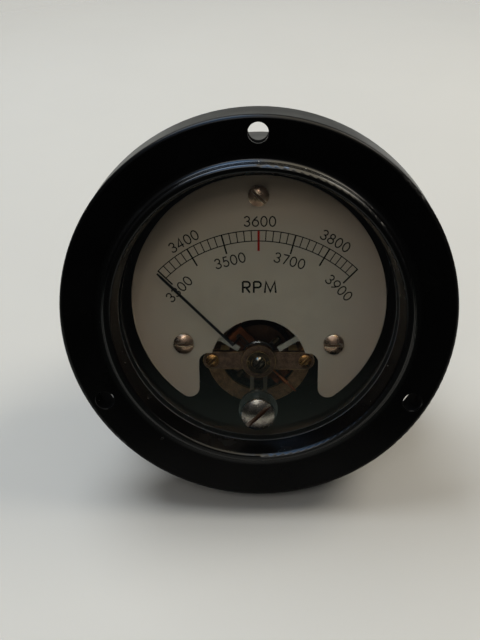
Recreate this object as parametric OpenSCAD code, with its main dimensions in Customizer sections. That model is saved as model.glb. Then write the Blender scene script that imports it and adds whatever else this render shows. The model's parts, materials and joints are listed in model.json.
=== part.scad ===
// Round flush-panel tachometer indicator with a moving-coil movement.
// Pieces are drawn face-on: x to the right, y up, z towards the viewer. in_place() stands them up.
// Height z = 0 is the mounting plane, where the rear edge of the skirt meets the panel.

/* [Front moulding] */
// Diameter of the flange at the rear edge of its skirt
flange_d = 68.3; // [67:0.1:72]
// How much smaller the flange is across its front edge
flange_draft = 0.5; // [0.2:0.1:1]
// Depth from the flange's front face to the mounting plane
skirt_depth = 9.2; // [8.6:0.1:11]
// Thickness of the flange's front web
web_t = 3.7; // [3.4:0.1:4.2]
// Thickness of the skirt's wall
skirt_t = 1.3; // [1:0.1:2]
// Radius of the flange's rounded front edge
edge_r = 0.7; // [0.3:0.1:1]
// Height of the raised bezel above the flange
bezel_h = 1.85; // [1.4:0.05:2.5]
// Width of the bezel's crest
bezel_w = 1.5; // [1.3:0.1:2]
// Radius of the crest's rounded corners
crown_r = 0.55; // [0.3:0.05:0.6]
// Radius of the cove between the bezel and the flange
cove_r = 0.7; // [0.4:0.05:0.8]
// How far the bezel's inner wall slopes in towards the lip
lip_slope = 0.65; // [0.4:0.05:1]

/* [Mounting holes] */
// Distance of the mounting holes' centres from the edge of the flange
bolt_inset = 3.162; // [3:0.05:3.4]
// Diameter of each mounting hole
bolt_hole_d = 3.4; // [2.8:0.1:3.6]
// Number of mounting holes
bolt_count = 3; // [3:1:3]

/* [Window] */
// Width of the moulding from the edge of the flange to the clear window
face_w = 10; // [9.8:0.05:10.3]
// Width of the lip that holds the glass
lip_w = 0.95; // [0.8:0.05:1.1]
// Depth of the glass below the flange's front face
glass_drop = 2.8; // [2.5:0.1:3]
// Thickness of the glass
glass_t = 2; // [1.7:0.1:2.3]
// Thickness of each gasket that clamps the glass
gasket_t = 0.4; // [0.3:0.05:0.6]
// Clearance round pieces that drop into a seat
seat_gap = 0.1; // [0.05:0.05:0.15]

/* [Rear case] */
// How far the flange overhangs the barrel that goes through the panel
overhang = 6.65; // [6.4:0.05:6.8]
// Depth of the barrel behind the mounting plane
barrel_depth = 18.5; // [18:0.5:24]
// Wall of the barrel
barrel_wall = 2.4; // [2:0.1:2.8]
// Thickness of the case's back
back_t = 1.8; // [1.6:0.1:2.1]
// Radius of the barrel's rounded rear corner
barrel_edge = 0.8; // [0.4:0.1:1.2]
// Thickness of the rim that seats behind the flange
rim_t = 1.8; // [1.4:0.1:2.4]
// Radius of the ears for the case screws
ear_r = 2.4; // [2:0.1:2.6]
// Clearance between the ears and the skirt
ear_gap = 0.4; // [0.3:0.1:0.6]
// Clearance between the rim and the mounting bolts
bolt_clear = 0.25; // [0.15:0.05:0.4]
// Width of the ledge that clamps the glass
ledge_w = 1.3; // [1.1:0.1:1.5]
// Thickness of that ledge
ledge_t = 1.2; // [1:0.1:1.6]

/* [Dial] */
// Depth of the dial's face below the flange's front face
dial_drop = 9.4; // [9.2:0.1:10]
// Gap between the dial and the barrel's bore
dial_gap = 2.45; // [2.1:0.05:2.9]
// Thickness of the dial plate
dial_t = 0.5; // [0.4:0.1:0.7]
// Radius of the dial's arched opening round the pivot
arch_r = 8.75; // [8.4:0.05:9.2]
// Gap between the bridge and the edge of the dial's opening
opening_gap = 0.6; // [0.4:0.05:0.8]
// Corner radius of that opening
slot_r = 1.8; // [1:0.1:2.1]
// Radius of the dial's lower tips
tip_r = 1.8; // [1.2:0.1:2.1]
// Distance of the upper dial screw from the dial's edge
top_screw_inset = 3.55; // [3.1:0.05:4]
// Half the spacing of the lower dial screws
low_screw_x = 13.5; // [13.2:0.1:14]
// Height of the lower dial screws above the movement's pivot
low_screw_rise = 4.2; // [3.9:0.1:4.5]
// Diameter of the dial screws' heads
dial_head_d = 3.7; // [3.2:0.1:3.9]
// Height of the dial screws' heads
dial_head_h = 1.1; // [0.9:0.1:1.3]
// Diameter of the dial posts
post_d = 4; // [3.4:0.1:4.4]

/* [Movement frame] */
// Depth of the bridge's boss below the dial's face
bridge_drop = 1.7; // [1.6:0.1:2]
// Width of the bridge's arms
bridge_w = 3.4; // [3:0.1:3.8]
// Thickness of the bridges
bridge_t = 1; // [0.8:0.1:1.2]
// Diameter of the bridge's round boss
boss_d = 6.3; // [5.8:0.1:6.6]
// Height of the boss above the arms
boss_step = 0.5; // [0.3:0.1:0.7]
// Diameter of the bridge pillars
pillar_d = 2.2; // [2:0.1:2.4]
// Length of the bridge pillars
pillar_h = 2.4; // [2.3:0.05:2.5]
// Wall of the yoke ring
yoke_wall = 2.6; // [2.4:0.1:2.9]
// Thickness of the bronze plate on the yoke
ring_t = 0.8; // [0.6:0.1:1]
// Diameter of the core magnet
core_d = 11.2; // [10.8:0.1:11.5]
// Gap between the rear jewel screw and the case's back
rear_room = 0.65; // [0.5:0.05:0.9]
// Width of the two blocks that hold the core in the yoke
support_w = 2.4; // [2:0.1:2.8]
// Distance of those blocks from the core's ends
support_inset = 1; // [0.8:0.1:1.2]
// How far the core passes the yoke's rear edge
core_proud = 0.2; // [0.1:0.1:0.3]
// Thickness of the base plate
base_t = 1.4; // [1.2:0.1:1.5]
// Width of the base plate's arms
base_arm_w = 6; // [5:0.1:7]

/* [Moving coil] */
// Width of the coil
coil_w = 3.2; // [2.8:0.1:3.4]
// Gap between the coil and what it turns in
coil_gap = 0.25; // [0.2:0.05:0.3]
// Wall of the coil's former
former_t = 0.2; // [0.15:0.05:0.25]
// Thickness of the winding
winding_t = 0.75; // [0.6:0.05:0.8]
// Thickness of the arms that carry the pointer and the weights
hub_t = 0.4; // [0.3:0.05:0.45]
// Length of the arm that lies under the pointer
arm_reach = 5.2; // [4.9:0.1:5.4]
// Width of the arms
arm_w = 1; // [0.8:0.1:1.2]
// Length of the cross arms that carry the balance weights
cross_reach = 4.7; // [4.4:0.1:4.8]
// Diameter of the balance weights
weight_d = 1.1; // [0.9:0.1:1.3]
// Length of the balance weights
weight_l = 1.4; // [1:0.1:1.6]
// Radius of the staffs' spindles
spindle_r = 0.3; // [0.25:0.05:0.4]
// Radius of the staffs' pivots
pivot_r = 0.15; // [0.12:0.01:0.18]
// Running clearance round pivots and the zero lever
run_gap = 0.05; // [0.03:0.01:0.07]
// Axial gap between neighbouring pieces of the movement
air_gap = 0.3; // [0.27:0.01:0.33]
// End play of the staffs between the jewels
end_play = 0.05; // [0.03:0.01:0.07]
// Length of each pivot inside its jewel
pivot_l = 0.25; // [0.2:0.05:0.3]

/* [Hairsprings] */
// Turns of each hairspring
spring_turns = 4; // [3:0.5:4]
// Thickness of the hairspring's strip
spring_t = 0.1; // [0.08:0.01:0.12]
// Width of the hairspring's strip along the axis
spring_w = 0.4; // [0.35:0.05:0.45]
// Radius of the hairspring's outer end
spring_r = 3; // [2.9:0.05:3.05]
// Radius of the collets that hold the hairsprings
collet_r = 0.7; // [0.6:0.05:0.7]

/* [Pointer] */
// Angle of the pointer at rest, clockwise from straight up
rest_angle = -45; // [-48:1:-42]
// Travel of the pointer over the scale
sweep = 90; // [84:1:94]
// Overtravel past each end of the scale
overtravel = 4; // [3:0.5:5]
// Radius of the pointer's tip
tip_reach = 25.1; // [24:0.1:25.6]
// Height of the pointer above the dial's face
pointer_rise = 1.7; // [1.5:0.1:2]
// Width of the pointer's blade
blade_w = 0.42; // [0.3:0.02:0.5]
// Thickness of the pointer's blade
blade_t = 0.3; // [0.2:0.05:0.35]
// Radius where the pointer's blade bends down to the arms
crank_r = 6.6; // [6.2:0.1:7]
// Length of the pointer's tail from the pivot
tail_reach = 9.75; // [9:0.05:10]
// Distance of the arm's end under the tail from the pivot
tail_arm_reach = 4.5; // [4.4:0.05:4.5]
// Distance of the middle of the tail's weight from the pivot
tail_weight_at = 6.18; // [6.18:0.01:6.4]
// Diameter of the tail
tail_d = 0.4; // [0.3:0.05:0.5]
// Diameter of the weight wound on the tail
tail_weight_d = 1; // [0.8:0.1:1]
// Length of the weight wound on the tail
tail_weight_l = 2.2; // [1.6:0.1:2.6]
// Width of the stop fingers
stop_w = 1; // [0.8:0.1:1.2]
// Thickness of the stop fingers
stop_t = 0.4; // [0.3:0.1:0.6]
// Depth of the stop fingers below the dial's face
stop_drop = 2; // [1.8:0.1:2.4]
// Distance of the fingers' inner ends from the pivot
stop_reach = 4.3; // [4:0.1:4.6]

/* [Zero adjuster] */
// Distance of the zero screw from the lip of the window
zero_inset = 5.25; // [5.1:0.05:5.6]
// Distance of the zero screw below the pivot
zero_drop = 6.8; // [6.7:0.1:7]
// Diameter of the zero screw's head
zero_head_d = 5.8; // [5.4:0.1:6.2]
// Height of that head
zero_head_h = 1.4; // [1.2:0.1:1.7]
// Diameter of the zero screw's shank
zero_shank_d = 2.8; // [2.75:0.05:3.2]
// Thickness of the seal under the head
seal_t = 0.3; // [0.2:0.05:0.4]
// Width of that head's slot
zero_slot_w = 0.8; // [0.6:0.1:1]
// Depth of that head's slot
zero_slot_deep = 0.75; // [0.5:0.05:0.9]
// Diameter of the collar behind the glass
collar_d = 7; // [6.6:0.1:7.4]
// Thickness of that collar
collar_t = 0.9; // [0.7:0.1:1.2]
// Radius of the zero screw's eccentric pin
ecc_r = 0.65; // [0.5:0.05:0.65]
// Offset of the eccentric pin
ecc_offset = 0.7; // [0.6:0.05:0.7]
// Gap between the pin and each prong
fork_play = 0.22; // [0.18:0.02:0.3]
// Width of each prong
prong_w = 0.72; // [0.6:0.02:0.8]
// Thickness of the zero lever
lever_t = 0.3; // [0.25:0.05:0.35]
// Radius of the zero lever's ring
lever_r = 3.4; // [3.3:0.05:3.5]
// Play of the zero lever behind the bridge
lever_play = 0.15; // [0.1:0.05:0.2]
// Radius of the jewel screws
jewel_r = 1.2; // [1:0.1:1.3]
// Radius of the jewel screws' lock nuts
lock_nut_r = 2.2; // [2:0.1:2.4]
// Thickness of the lock nuts
lock_nut_t = 0.6; // [0.5:0.1:0.7]
// How far the jewel screws pass their lock nuts
jewel_rise = 0.3; // [0.2:0.05:0.4]

/* [Terminals] */
// Distance of the terminal studs' centres from the edge of the barrel
stud_inset = 14.8; // [14:0.1:15]
// Height of the terminal studs' centres above the pointer's pivot
stud_rise = 12.1; // [11.8:0.1:12.4]
// Diameter of the terminal studs
stud_d = 4.8; // [4:0.1:5]
// Depth to which the nuts' threads bite into the studs
thread_bite = 0.2; // [0.18:0.01:0.25]
// Length of the studs behind the case
stud_reach = 14; // [12:0.5:18]
// Width of the terminal nuts across their flats
nut_af = 8.2; // [7.6:0.1:8.6]
// Thickness of the terminal nuts
nut_t = 2.6; // [2.2:0.1:2.8]
// Diameter of the terminal washers
washer_d = 10; // [9.5:0.1:11]
// Thickness of the terminal washers
washer_t = 0.8; // [0.6:0.1:1]
// Gap of the split lock washers
split_gap = 0.8; // [0.5:0.1:1]
// Thickness of the solder lugs
lug_t = 0.5; // [0.4:0.1:0.7]
// Diameter of the lead wires
wire_d = 0.6; // [0.5:0.1:0.8]

/* [Small screws] */
// Width of the slots in the small screws
slot_cut = 0.5; // [0.4:0.05:0.6]
// Depth of the slots in the small screws
slot_deep = 0.45; // [0.35:0.05:0.5]
// Shank diameter of the small screws
small_shank = 1.6; // [1.4:0.1:1.7]
// Length of thread that a screw has in the piece it holds to
grip = 2; // [1.6:0.1:2.2]
// Clearance between a screw's shank and its hole
hole_gap = 0.03; // [0.02:0.01:0.05]
// Head diameter of the screws that are driven from behind
small_head_d = 2.9; // [2.6:0.1:3.1]
// Head height of those screws
small_head_h = 0.9; // [0.8:0.1:1.1]
// Head diameter of the front bridge's screws
bridge_head_d = 2.4; // [2.2:0.1:2.6]
// Head height of those screws
bridge_head_h = 0.6; // [0.5:0.05:0.7]
// How much of a screw head's height is domed
crown_share = 0.5; // [0.3:0.05:0.6]

/* [Hidden] */
$fn = 96;
// Overlap of shapes that are cut from or joined to each other
over = 0.01;

// Heights from the bezel down to the back of the case
z_face = skirt_depth;
z_bezel = z_face + bezel_h;
z_web = z_face - web_t;
z_glass = z_face - glass_drop;
z_glass_back = z_glass - glass_t;
z_clamp = z_glass_back - gasket_t;
z_seal = z_glass + run_gap;
z_head = z_seal + seal_t;
z_collar = z_glass_back - run_gap;
z_collar_back = z_collar - collar_t;
z_back = -barrel_depth;
z_floor = z_back + back_t;

// Heights of the washers and nuts behind the case
z_nut = z_back - washer_t;
z_nut_back = z_nut - nut_t;
z_lock = z_nut_back - washer_t;
z_outer_nut = z_lock - washer_t;
z_nut_end = z_outer_nut - nut_t;

// Heights of the dial and the front half of the movement
z_dial = z_face - dial_drop;
z_dial_back = z_dial - dial_t;
z_pointer = z_dial + pointer_rise;
z_stop = z_dial - stop_drop;
z_boss = z_dial - bridge_drop;
z_arm = z_boss - boss_step;
z_arm_back = z_arm - bridge_t;
z_ring = z_arm_back - pillar_h;
z_yoke = z_ring - ring_t;
z_lever = z_arm_back - lever_play;
z_lever_back = z_lever - lever_t;
// How far the jewel screws and the eccentric pin pass the levers
proud = 0.1;
z_jewel = z_lever_back - proud;
z_spring = z_lever_back - air_gap;
z_hub = z_spring - spring_w - air_gap;

// Heights of the coil, the core and the rear half of the movement
z_coil = z_hub - hub_t;
z_core = z_coil - winding_t - former_t - coil_gap;
z_rear_screw_end = z_floor + rear_room;
z_rear_bridge_back = z_rear_screw_end + jewel_rise + lock_nut_t;
z_rear_bridge = z_rear_bridge_back + bridge_t;
z_rear_lever = z_rear_bridge + lever_t;
z_rear_jewel = z_rear_lever + proud;
z_rear_spring = z_rear_lever + air_gap + spring_w;
z_hub_back = z_rear_spring + air_gap;
z_coil_back = z_hub_back + hub_t;
z_core_back = z_coil_back + winding_t + former_t + coil_gap;
core_l = z_core - z_core_back;
z_base = z_core_back - core_proud;
z_base_back = z_base - base_t;
z_front_screw_end = z_boss + lock_nut_t + jewel_rise;

// Sizes that follow the flange's edge
bolt_circle_d = flange_d - 2 * bolt_inset;
barrel_d = flange_d - 2 * overhang;
lip_d = flange_d - 2 * face_w;

// Radii that follow from the driving sizes
flange_front_r = (flange_d - flange_draft) / 2;
skirt_front_r = flange_front_r - skirt_t;
bezel_in_r = lip_d / 2 + lip_slope;
bezel_r = bezel_in_r + bezel_w;
glass_r = lip_d / 2 + lip_w;
seat_r = glass_r + seat_gap;
rim_r = (bolt_circle_d - bolt_hole_d) / 2 - bolt_clear;
ear_at = skirt_front_r - ear_gap - ear_r;
ear_root = (barrel_d / 2 + rim_r) / 2;
ledge_r = seat_r - ledge_w;
bore_r = barrel_d / 2 - barrel_wall;
dial_r = bore_r - dial_gap;
core_r = core_d / 2;
former_r = core_r + coil_gap + former_t;
coil_r = former_r + winding_t;
yoke_in_r = norm([coil_r, coil_w / 2]) + coil_gap;
yoke_r = yoke_in_r + yoke_wall;
pillar_x = (yoke_in_r + yoke_r) / 2;
opening_x = pillar_x + bridge_w / 2 + opening_gap;
opening_top = bridge_w / 2 + opening_gap;
fork_x = ecc_r + fork_play;
screw_hole = small_shank + 2 * hole_gap;
jewel_hole = 2 * (jewel_r + hole_gap);
boss_wall = 0.8;
// How far a cut runs past what it cuts
past = 1;
head_gap = 0.4;
nut_r = nut_af / sqrt(3);
stud_core_d = stud_d - 2 * thread_bite;
nut_bevel = 0.35;
lock_washer_r = 0.4 * washer_d;
nut_hole = stud_core_d + 2 * hole_gap;

// The pointer's bend, and the angle at which its flank meets a stop finger
crank_in_r = arm_reach;
crank_slope = (crank_r - crank_in_r) / (z_pointer - z_hub);
stop_contact_r = crank_in_r + crank_slope * (z_stop - stop_t - z_hub) - blade_t;
stop_play = 0.08;
stop_angle = sweep / 2 + overtravel + asin((blade_w + stop_w + 2 * stop_play) / 2 / stop_contact_r);

// Places in the face-on view
zero_at = [0, zero_inset - lip_d / 2];
pivot_drop = -zero_at[1] - zero_drop;
pivot = [0, -pivot_drop];
low_screw_y = low_screw_rise - pivot_drop;
dial_screw_at = [
    [0, dial_r - top_screw_inset], [-low_screw_x, low_screw_y], [low_screw_x, low_screw_y]
];
stud_x = barrel_d / 2 - stud_inset;
stud_y = stud_rise - pivot_drop;
stud_at = [[-stud_x, stud_y], [stud_x, stud_y]];
bolt_angles = [for (i = [0:bolt_count - 1]) 90 + i * 360 / bolt_count];
ear_angles = [for (a = bolt_angles) a + 180 / bolt_count];
slot_angles = [-45, 0, 0];
zero_slot_angle = 45;

// Stands a piece that is drawn face-on up, with its face towards -Y
module in_place() rotate([90, 0, 0]) children();

// Puts a piece drawn round the origin at a place and height of the face-on view
module at(p, z) translate([p[0], p[1], z]) children();

// Turns a piece drawn pointing up to an angle counted clockwise from straight up
module turned(angle) rotate([0, 0, -angle]) children();

// A round bar of diameter d from height z0 to height z1
module rod(d, z0, z1) translate([0, 0, z0]) cylinder(d = d, h = z1 - z0);

// A ring between two radii from height z0 to height z1
module ring(r_out, r_in, z0, z1) difference() {
    translate([0, 0, z0]) cylinder(r = r_out, h = z1 - z0);
    translate([0, 0, z0 - over]) cylinder(r = r_in, h = z1 - z0 + 2 * over);
}

// A flat bar with round ends, from point p to point q, as an outline
module bar(p, q, w) {
    v = q - p;
    translate(p) circle(d = w + over);
    translate(q) circle(d = w + over);
    translate(p) rotate([0, 0, atan2(v[1], v[0])]) translate([0, -w / 2]) square([norm(v), w]);
}

// A round head with a domed top, its seat at z = 0
module domed(d, h, crown) {
    ball = (d * d / 4 + crown * crown) / (2 * crown);
    intersection() {
        cylinder(d = d, h = h);
        translate([0, 0, h - ball]) sphere(r = ball);
    }
}

// A slotted screw with its seat at z = 0, its head above and its shank below
module slotted_screw(head_d, head_h, length, angle) difference() {
    union() {
        domed(head_d, head_h, head_h * crown_share);
        translate([0, 0, -length]) cylinder(d = small_shank, h = length + over);
    }
    slot(head_d, slot_cut, head_h - slot_deep, head_h, angle);
}

// A slot across a head of diameter d, from height z0 past height z1
module slot(d, w, z0, z1, angle) rotate([0, 0, angle]) translate([-d, -w / 2, z0])
    cube([2 * d, w, z1 - z0 + past]);

// A slotted screw that is driven from behind
module rear_screw(length, angle) mirror([0, 0, 1])
    slotted_screw(small_head_d, small_head_h, length, angle);

// A hexagonal nut with bevelled corners, between two heights
module hex_nut(z0, z1) difference() {
    intersection() {
        translate([0, 0, z0]) cylinder(r = nut_r, h = z1 - z0, $fn = 6);
        translate([0, 0, z0]) cylinder(r1 = nut_r - nut_bevel, r2 = nut_r + z1 - z0, h = z1 - z0);
        translate([0, 0, z0]) cylinder(r1 = nut_r + z1 - z0, r2 = nut_r - nut_bevel, h = z1 - z0);
    }
    rod(nut_hole, z0 - past, z1 + past);
}

// A wire along straight stretches with round corners
module wire(points) {
    for (i = [0:len(points) - 2]) {
        v = points[i + 1] - points[i];
        translate(points[i]) rotate([0, acos(v[2] / norm(v)), atan2(v[1], v[0])])
            cylinder(d = wire_d, h = norm(v), $fn = 24);
    }
    for (i = [1:len(points) - 2]) translate(points[i]) sphere(d = wire_d + 4 * over, $fn = 24);
}

// Section of the front moulding: flange, skirt, bezel and the seat of the glass
module front_section() {
    difference() {
        union() {
            polygon([
                [flange_d / 2 - skirt_t, 0], [flange_d / 2, 0],
                [flange_front_r, z_face - edge_r], [flange_front_r - edge_r, z_face],
                [bezel_r + cove_r, z_face], [bezel_r + cove_r, z_face + over],
                [bezel_r, z_face + over], [bezel_r, z_bezel - crown_r],
                [bezel_r - crown_r, z_bezel], [bezel_in_r + crown_r, z_bezel],
                [bezel_in_r, z_bezel - crown_r], [lip_d / 2, z_glass + gasket_t],
                [seat_r, z_glass + gasket_t], [seat_r, z_web], [skirt_front_r, z_web]
            ]);
            translate([flange_front_r - edge_r, z_face - edge_r]) circle(r = edge_r, $fn = 48);
            translate([bezel_r - crown_r, z_bezel - crown_r]) circle(r = crown_r, $fn = 48);
            translate([bezel_in_r + crown_r, z_bezel - crown_r]) circle(r = crown_r, $fn = 48);
            translate([bezel_r - over, z_face - over]) square([cove_r + over, cove_r + over]);
        }
        translate([bezel_r + cove_r, z_face + cove_r]) circle(r = cove_r, $fn = 48);
    }
}

module front_housing() color([0.05, 0.05, 0.055]) in_place() difference() {
    rotate_extrude($fn = 180) front_section();
    for (a = bolt_angles) rotate([0, 0, a]) translate([bolt_circle_d / 2, 0, z_web - past])
        cylinder(d = bolt_hole_d, h = web_t + 2 * past);
    for (a = ear_angles) rotate([0, 0, a]) translate([ear_at, 0, z_web - over])
        cylinder(d = screw_hole, h = grip + hole_gap);
}

// Outline of the barrel's outside, from the axis to the rim
module barrel_section() {
    polygon([
        [0, z_back], [barrel_d / 2 - barrel_edge, z_back], [barrel_d / 2, z_back + barrel_edge],
        [barrel_d / 2, z_web - rim_t / 2], [0, z_web - rim_t / 2]
    ]);
    translate([barrel_d / 2 - barrel_edge, z_back + barrel_edge])
        circle(r = barrel_edge, $fn = 48);
}

// Outline of the space inside: the glass's seat, the ledge behind it and the bore
module cavity_section() polygon([
    [0, z_floor], [bore_r, z_floor], [bore_r, z_clamp - ledge_t - barrel_edge],
    [ledge_r, z_clamp - ledge_t], [ledge_r, z_clamp], [seat_r, z_clamp],
    [seat_r, z_web + past], [0, z_web + past]
]);

// The rim with its three ears
module rim_outline() {
    circle(r = rim_r, $fn = 180);
    for (a = ear_angles) rotate([0, 0, a]) bar([ear_root, 0], [ear_at, 0], 2 * ear_r);
}

module rear_case() color([0.06, 0.06, 0.065]) in_place() difference() {
    union() {
        difference() {
            union() {
                rotate_extrude($fn = 180) barrel_section();
                translate([0, 0, z_web - rim_t]) linear_extrude(rim_t) rim_outline();
            }
            rotate_extrude($fn = 180) cavity_section();
        }
        for (p = dial_screw_at) at(p, 0) rod(post_d + 2 * boss_wall, z_floor - over, z_base_back);
    }
    for (a = ear_angles) rotate([0, 0, a]) translate([ear_at, 0, 0])
        rod(screw_hole, z_web - rim_t - past, z_web + past);
    for (p = dial_screw_at) at(p, 0) {
        rod(screw_hole, z_back - past, z_base_back + past);
        rod(small_head_d + 2 * head_gap, z_back - past, z_back + small_head_h);
    }
    for (p = stud_at) at(p, 0) rod(stud_core_d + 2 * hole_gap, z_back - past, z_floor + past);
}

module case_screws() color([0.55, 0.53, 0.48]) in_place()
    for (a = ear_angles) rotate([0, 0, a]) translate([ear_at, 0, z_web - rim_t])
        rear_screw(rim_t + grip, 30);

module window_glass() color([0.75, 0.85, 0.85, 0.25]) in_place() difference() {
    rod(2 * glass_r, z_glass_back, z_glass);
    at(zero_at, 0) rod(zero_shank_d + 2 * run_gap, z_glass_back - past, z_glass + past);
}

module front_gasket() color([0.25, 0.26, 0.26]) in_place()
    ring(glass_r, lip_d / 2, z_glass, z_glass + gasket_t);

module rear_gasket() color([0.12, 0.12, 0.12]) in_place()
    ring(glass_r, ledge_r, z_clamp, z_glass_back);

// The zero screw: head in front of the glass, shank through it and an eccentric pin behind
module zero_screw() color([0.75, 0.74, 0.7]) in_place() at(zero_at, 0) difference() {
    union() {
        translate([0, 0, z_head]) domed(zero_head_d, zero_head_h, zero_head_h * crown_share);
        rod(zero_shank_d, z_collar_back - air_gap, z_head + over);
        translate([0, ecc_offset]) rod(2 * ecc_r, z_lever_back - proud, z_collar_back);
    }
    slot(zero_head_d, zero_slot_w, z_head + zero_head_h - zero_slot_deep,
        z_head + zero_head_h, zero_slot_angle);
}

module zero_screw_seal() color([0.1, 0.1, 0.1]) in_place() at(zero_at, 0)
    ring(zero_head_d / 2 - seal_t, zero_shank_d / 2 + over, z_seal, z_head);

module zero_screw_collar() color([0.36, 0.38, 0.33]) in_place() at(zero_at, 0)
    ring(collar_d / 2, zero_shank_d / 2 + over, z_collar_back, z_collar);

// The stud that holds a hairspring's outer end, on the rim of a lever
stud_pin_d = 0.3;
module spring_stud(z0, z1) translate([spring_r + (spring_t + stud_pin_d) / 2, 0, 0])
    rod(stud_pin_d, z0, z1);

module zero_lever() color([0.45, 0.46, 0.4]) in_place() at(pivot, 0) {
    translate([0, 0, z_lever_back]) linear_extrude(lever_t) difference() {
        union() {
            circle(r = lever_r);
            for (s = [-1, 1]) bar(
                [s * (fork_x + prong_w / 2), -lever_r / 2],
                [s * (fork_x + prong_w / 2), -zero_drop - ecc_r], prong_w
            );
        }
        circle(r = jewel_r + run_gap);
    }
    spring_stud(z_spring - spring_w, z_lever_back + over);
}

// The dial: a disc with an arch over the movement, a slot for the bridge and round lower tips
module dial_outline() {
    r = dial_r;
    tip = [opening_x + tip_r, -sqrt(pow(r - tip_r, 2) - pow(opening_x + tip_r, 2))];
    away = 1.3 * r * tip / norm(tip);
    difference() {
        circle(r = r, $fn = 180);
        translate(pivot) circle(r = arch_r);
        translate([-opening_x, -2 * r])
            square([2 * opening_x, 2 * r - pivot_drop + opening_top - slot_r]);
        translate([-opening_x + slot_r, -2 * r])
            square([2 * opening_x - 2 * slot_r, 2 * r - pivot_drop + opening_top]);
        for (s = [-1, 1]) {
            translate([s * (opening_x - slot_r), opening_top - slot_r - pivot_drop]) circle(r = slot_r);
            polygon([
                [s * (opening_x - over), tip[1]], [s * tip[0], tip[1]],
                [s * away[0], away[1]], [s * (opening_x - over), -1.3 * r]
            ]);
        }
    }
    for (s = [-1, 1]) translate([s * tip[0], tip[1]]) circle(r = tip_r);
}

module dial_plate() color([0.72, 0.7, 0.66]) in_place() translate([0, 0, z_dial_back])
    linear_extrude(dial_t) difference() {
        dial_outline();
        for (p = dial_screw_at) translate(p) circle(d = screw_hole);
    }

module dial_screws() color([0.62, 0.55, 0.48]) in_place() for (i = [0:len(dial_screw_at) - 1])
    at(dial_screw_at[i], z_dial)
        slotted_screw(dial_head_d, dial_head_h, dial_t + grip, slot_angles[i]);

module dial_posts() color([0.7, 0.6, 0.35]) in_place() for (p = dial_screw_at) at(p, 0)
    difference() {
        rod(post_d, z_base, z_dial_back);
        rod(screw_hole, z_dial_back - grip - hole_gap, z_dial_back + past);
        rod(screw_hole, z_base - past, z_base + grip + hole_gap);
    }

module base_plate() color([0.6, 0.6, 0.6]) in_place() translate([0, 0, z_base_back])
    linear_extrude(base_t) difference() {
        union() {
            translate(pivot) circle(r = yoke_r);
            for (p = dial_screw_at) bar(pivot, p, base_arm_w);
        }
        translate(pivot) circle(r = yoke_in_r);
        for (p = dial_screw_at) translate(p) circle(d = screw_hole);
        for (s = [-1, 1]) translate(pivot + [s * pillar_x, 0]) circle(d = screw_hole);
    }

module movement_screws() color([0.55, 0.53, 0.48]) in_place() for (p = dial_screw_at)
    at(p, z_back + small_head_h) rear_screw(z_base + grip - z_back - small_head_h, 60);

module yoke_ring() color([0.3, 0.28, 0.26]) in_place() at(pivot, 0) difference() {
    ring(yoke_r, yoke_in_r, z_base, z_yoke);
    for (s = [-1, 1]) translate([s * pillar_x, 0]) {
        rod(screw_hole, z_yoke - grip - hole_gap, z_yoke + past);
        rod(screw_hole, z_base - past, z_base + grip - base_t + hole_gap);
    }
}

module ring_plate() color([0.5, 0.4, 0.24]) in_place() at(pivot, 0) difference() {
    ring(yoke_r, yoke_in_r, z_yoke, z_ring);
    for (s = [-1, 1]) translate([s * pillar_x, 0]) rod(screw_hole, z_yoke - past, z_ring + past);
}

module core_magnet() color([0.3, 0.2, 0.15]) in_place() at(pivot, 0)
    rod(core_d, z_core_back, z_core);

module core_supports() color([0.6, 0.5, 0.3]) in_place() at(pivot, 0) difference() {
    intersection() {
        rod(2 * yoke_in_r - 2 * over, z_core_back + support_inset, z_core - support_inset);
        translate([-yoke_in_r, -support_w / 2, z_core_back])
            cube([2 * yoke_in_r, support_w, core_l]);
    }
    rod(core_d + 2 * over, z_core_back, z_core);
}

module bridge_outline(boss) {
    bar([-pillar_x, 0], [pillar_x, 0], bridge_w);
    circle(d = boss);
}

module front_bridge() color([0.42, 0.32, 0.22]) in_place() at(pivot, 0) difference() {
    union() {
        translate([0, 0, z_arm_back]) linear_extrude(bridge_t) bridge_outline(boss_d);
        rod(boss_d, z_arm - over, z_boss);
    }
    rod(jewel_hole, z_arm_back - past, z_boss + past);
    for (s = [-1, 1]) translate([s * pillar_x, 0]) rod(screw_hole, z_arm_back - past, z_boss + past);
}

module bridge_pillars() color([0.6, 0.5, 0.3]) in_place() for (s = [-1, 1])
    at(pivot + [s * pillar_x, 0], 0) ring(pillar_d / 2, screw_hole / 2, z_ring, z_arm_back);

module bridge_screws() color([0.65, 0.5, 0.25]) in_place() for (s = [-1, 1])
    at(pivot + [s * pillar_x, 0], z_arm)
        slotted_screw(bridge_head_d, bridge_head_h, z_arm - z_yoke + grip, 45);

// A jewel screw with its slot at z = 0 and the cup for the pivot at the far end
module jewel_screw(length, angle) difference() {
    rod(2 * jewel_r, -length, 0);
    slot(2 * jewel_r, slot_cut, -slot_deep, 0, angle);
    rod(2 * (pivot_r + run_gap), -length - past, -length + 2 * pivot_l);
}

module front_jewel_screw() color([0.6, 0.5, 0.35]) in_place() at(pivot, z_front_screw_end)
    jewel_screw(z_front_screw_end - z_jewel, 50);

// The lock nut has two notches for a spanner
module front_jewel_nut() color([0.5, 0.4, 0.26]) in_place() at(pivot, 0) difference() {
    ring(lock_nut_r, jewel_hole / 2, z_boss, z_boss + lock_nut_t);
    for (s = [-1, 1]) translate([s * lock_nut_r, 0, z_boss + lock_nut_t])
        cube([lock_nut_r - jewel_r, slot_cut, lock_nut_t], center = true);
}

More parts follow.
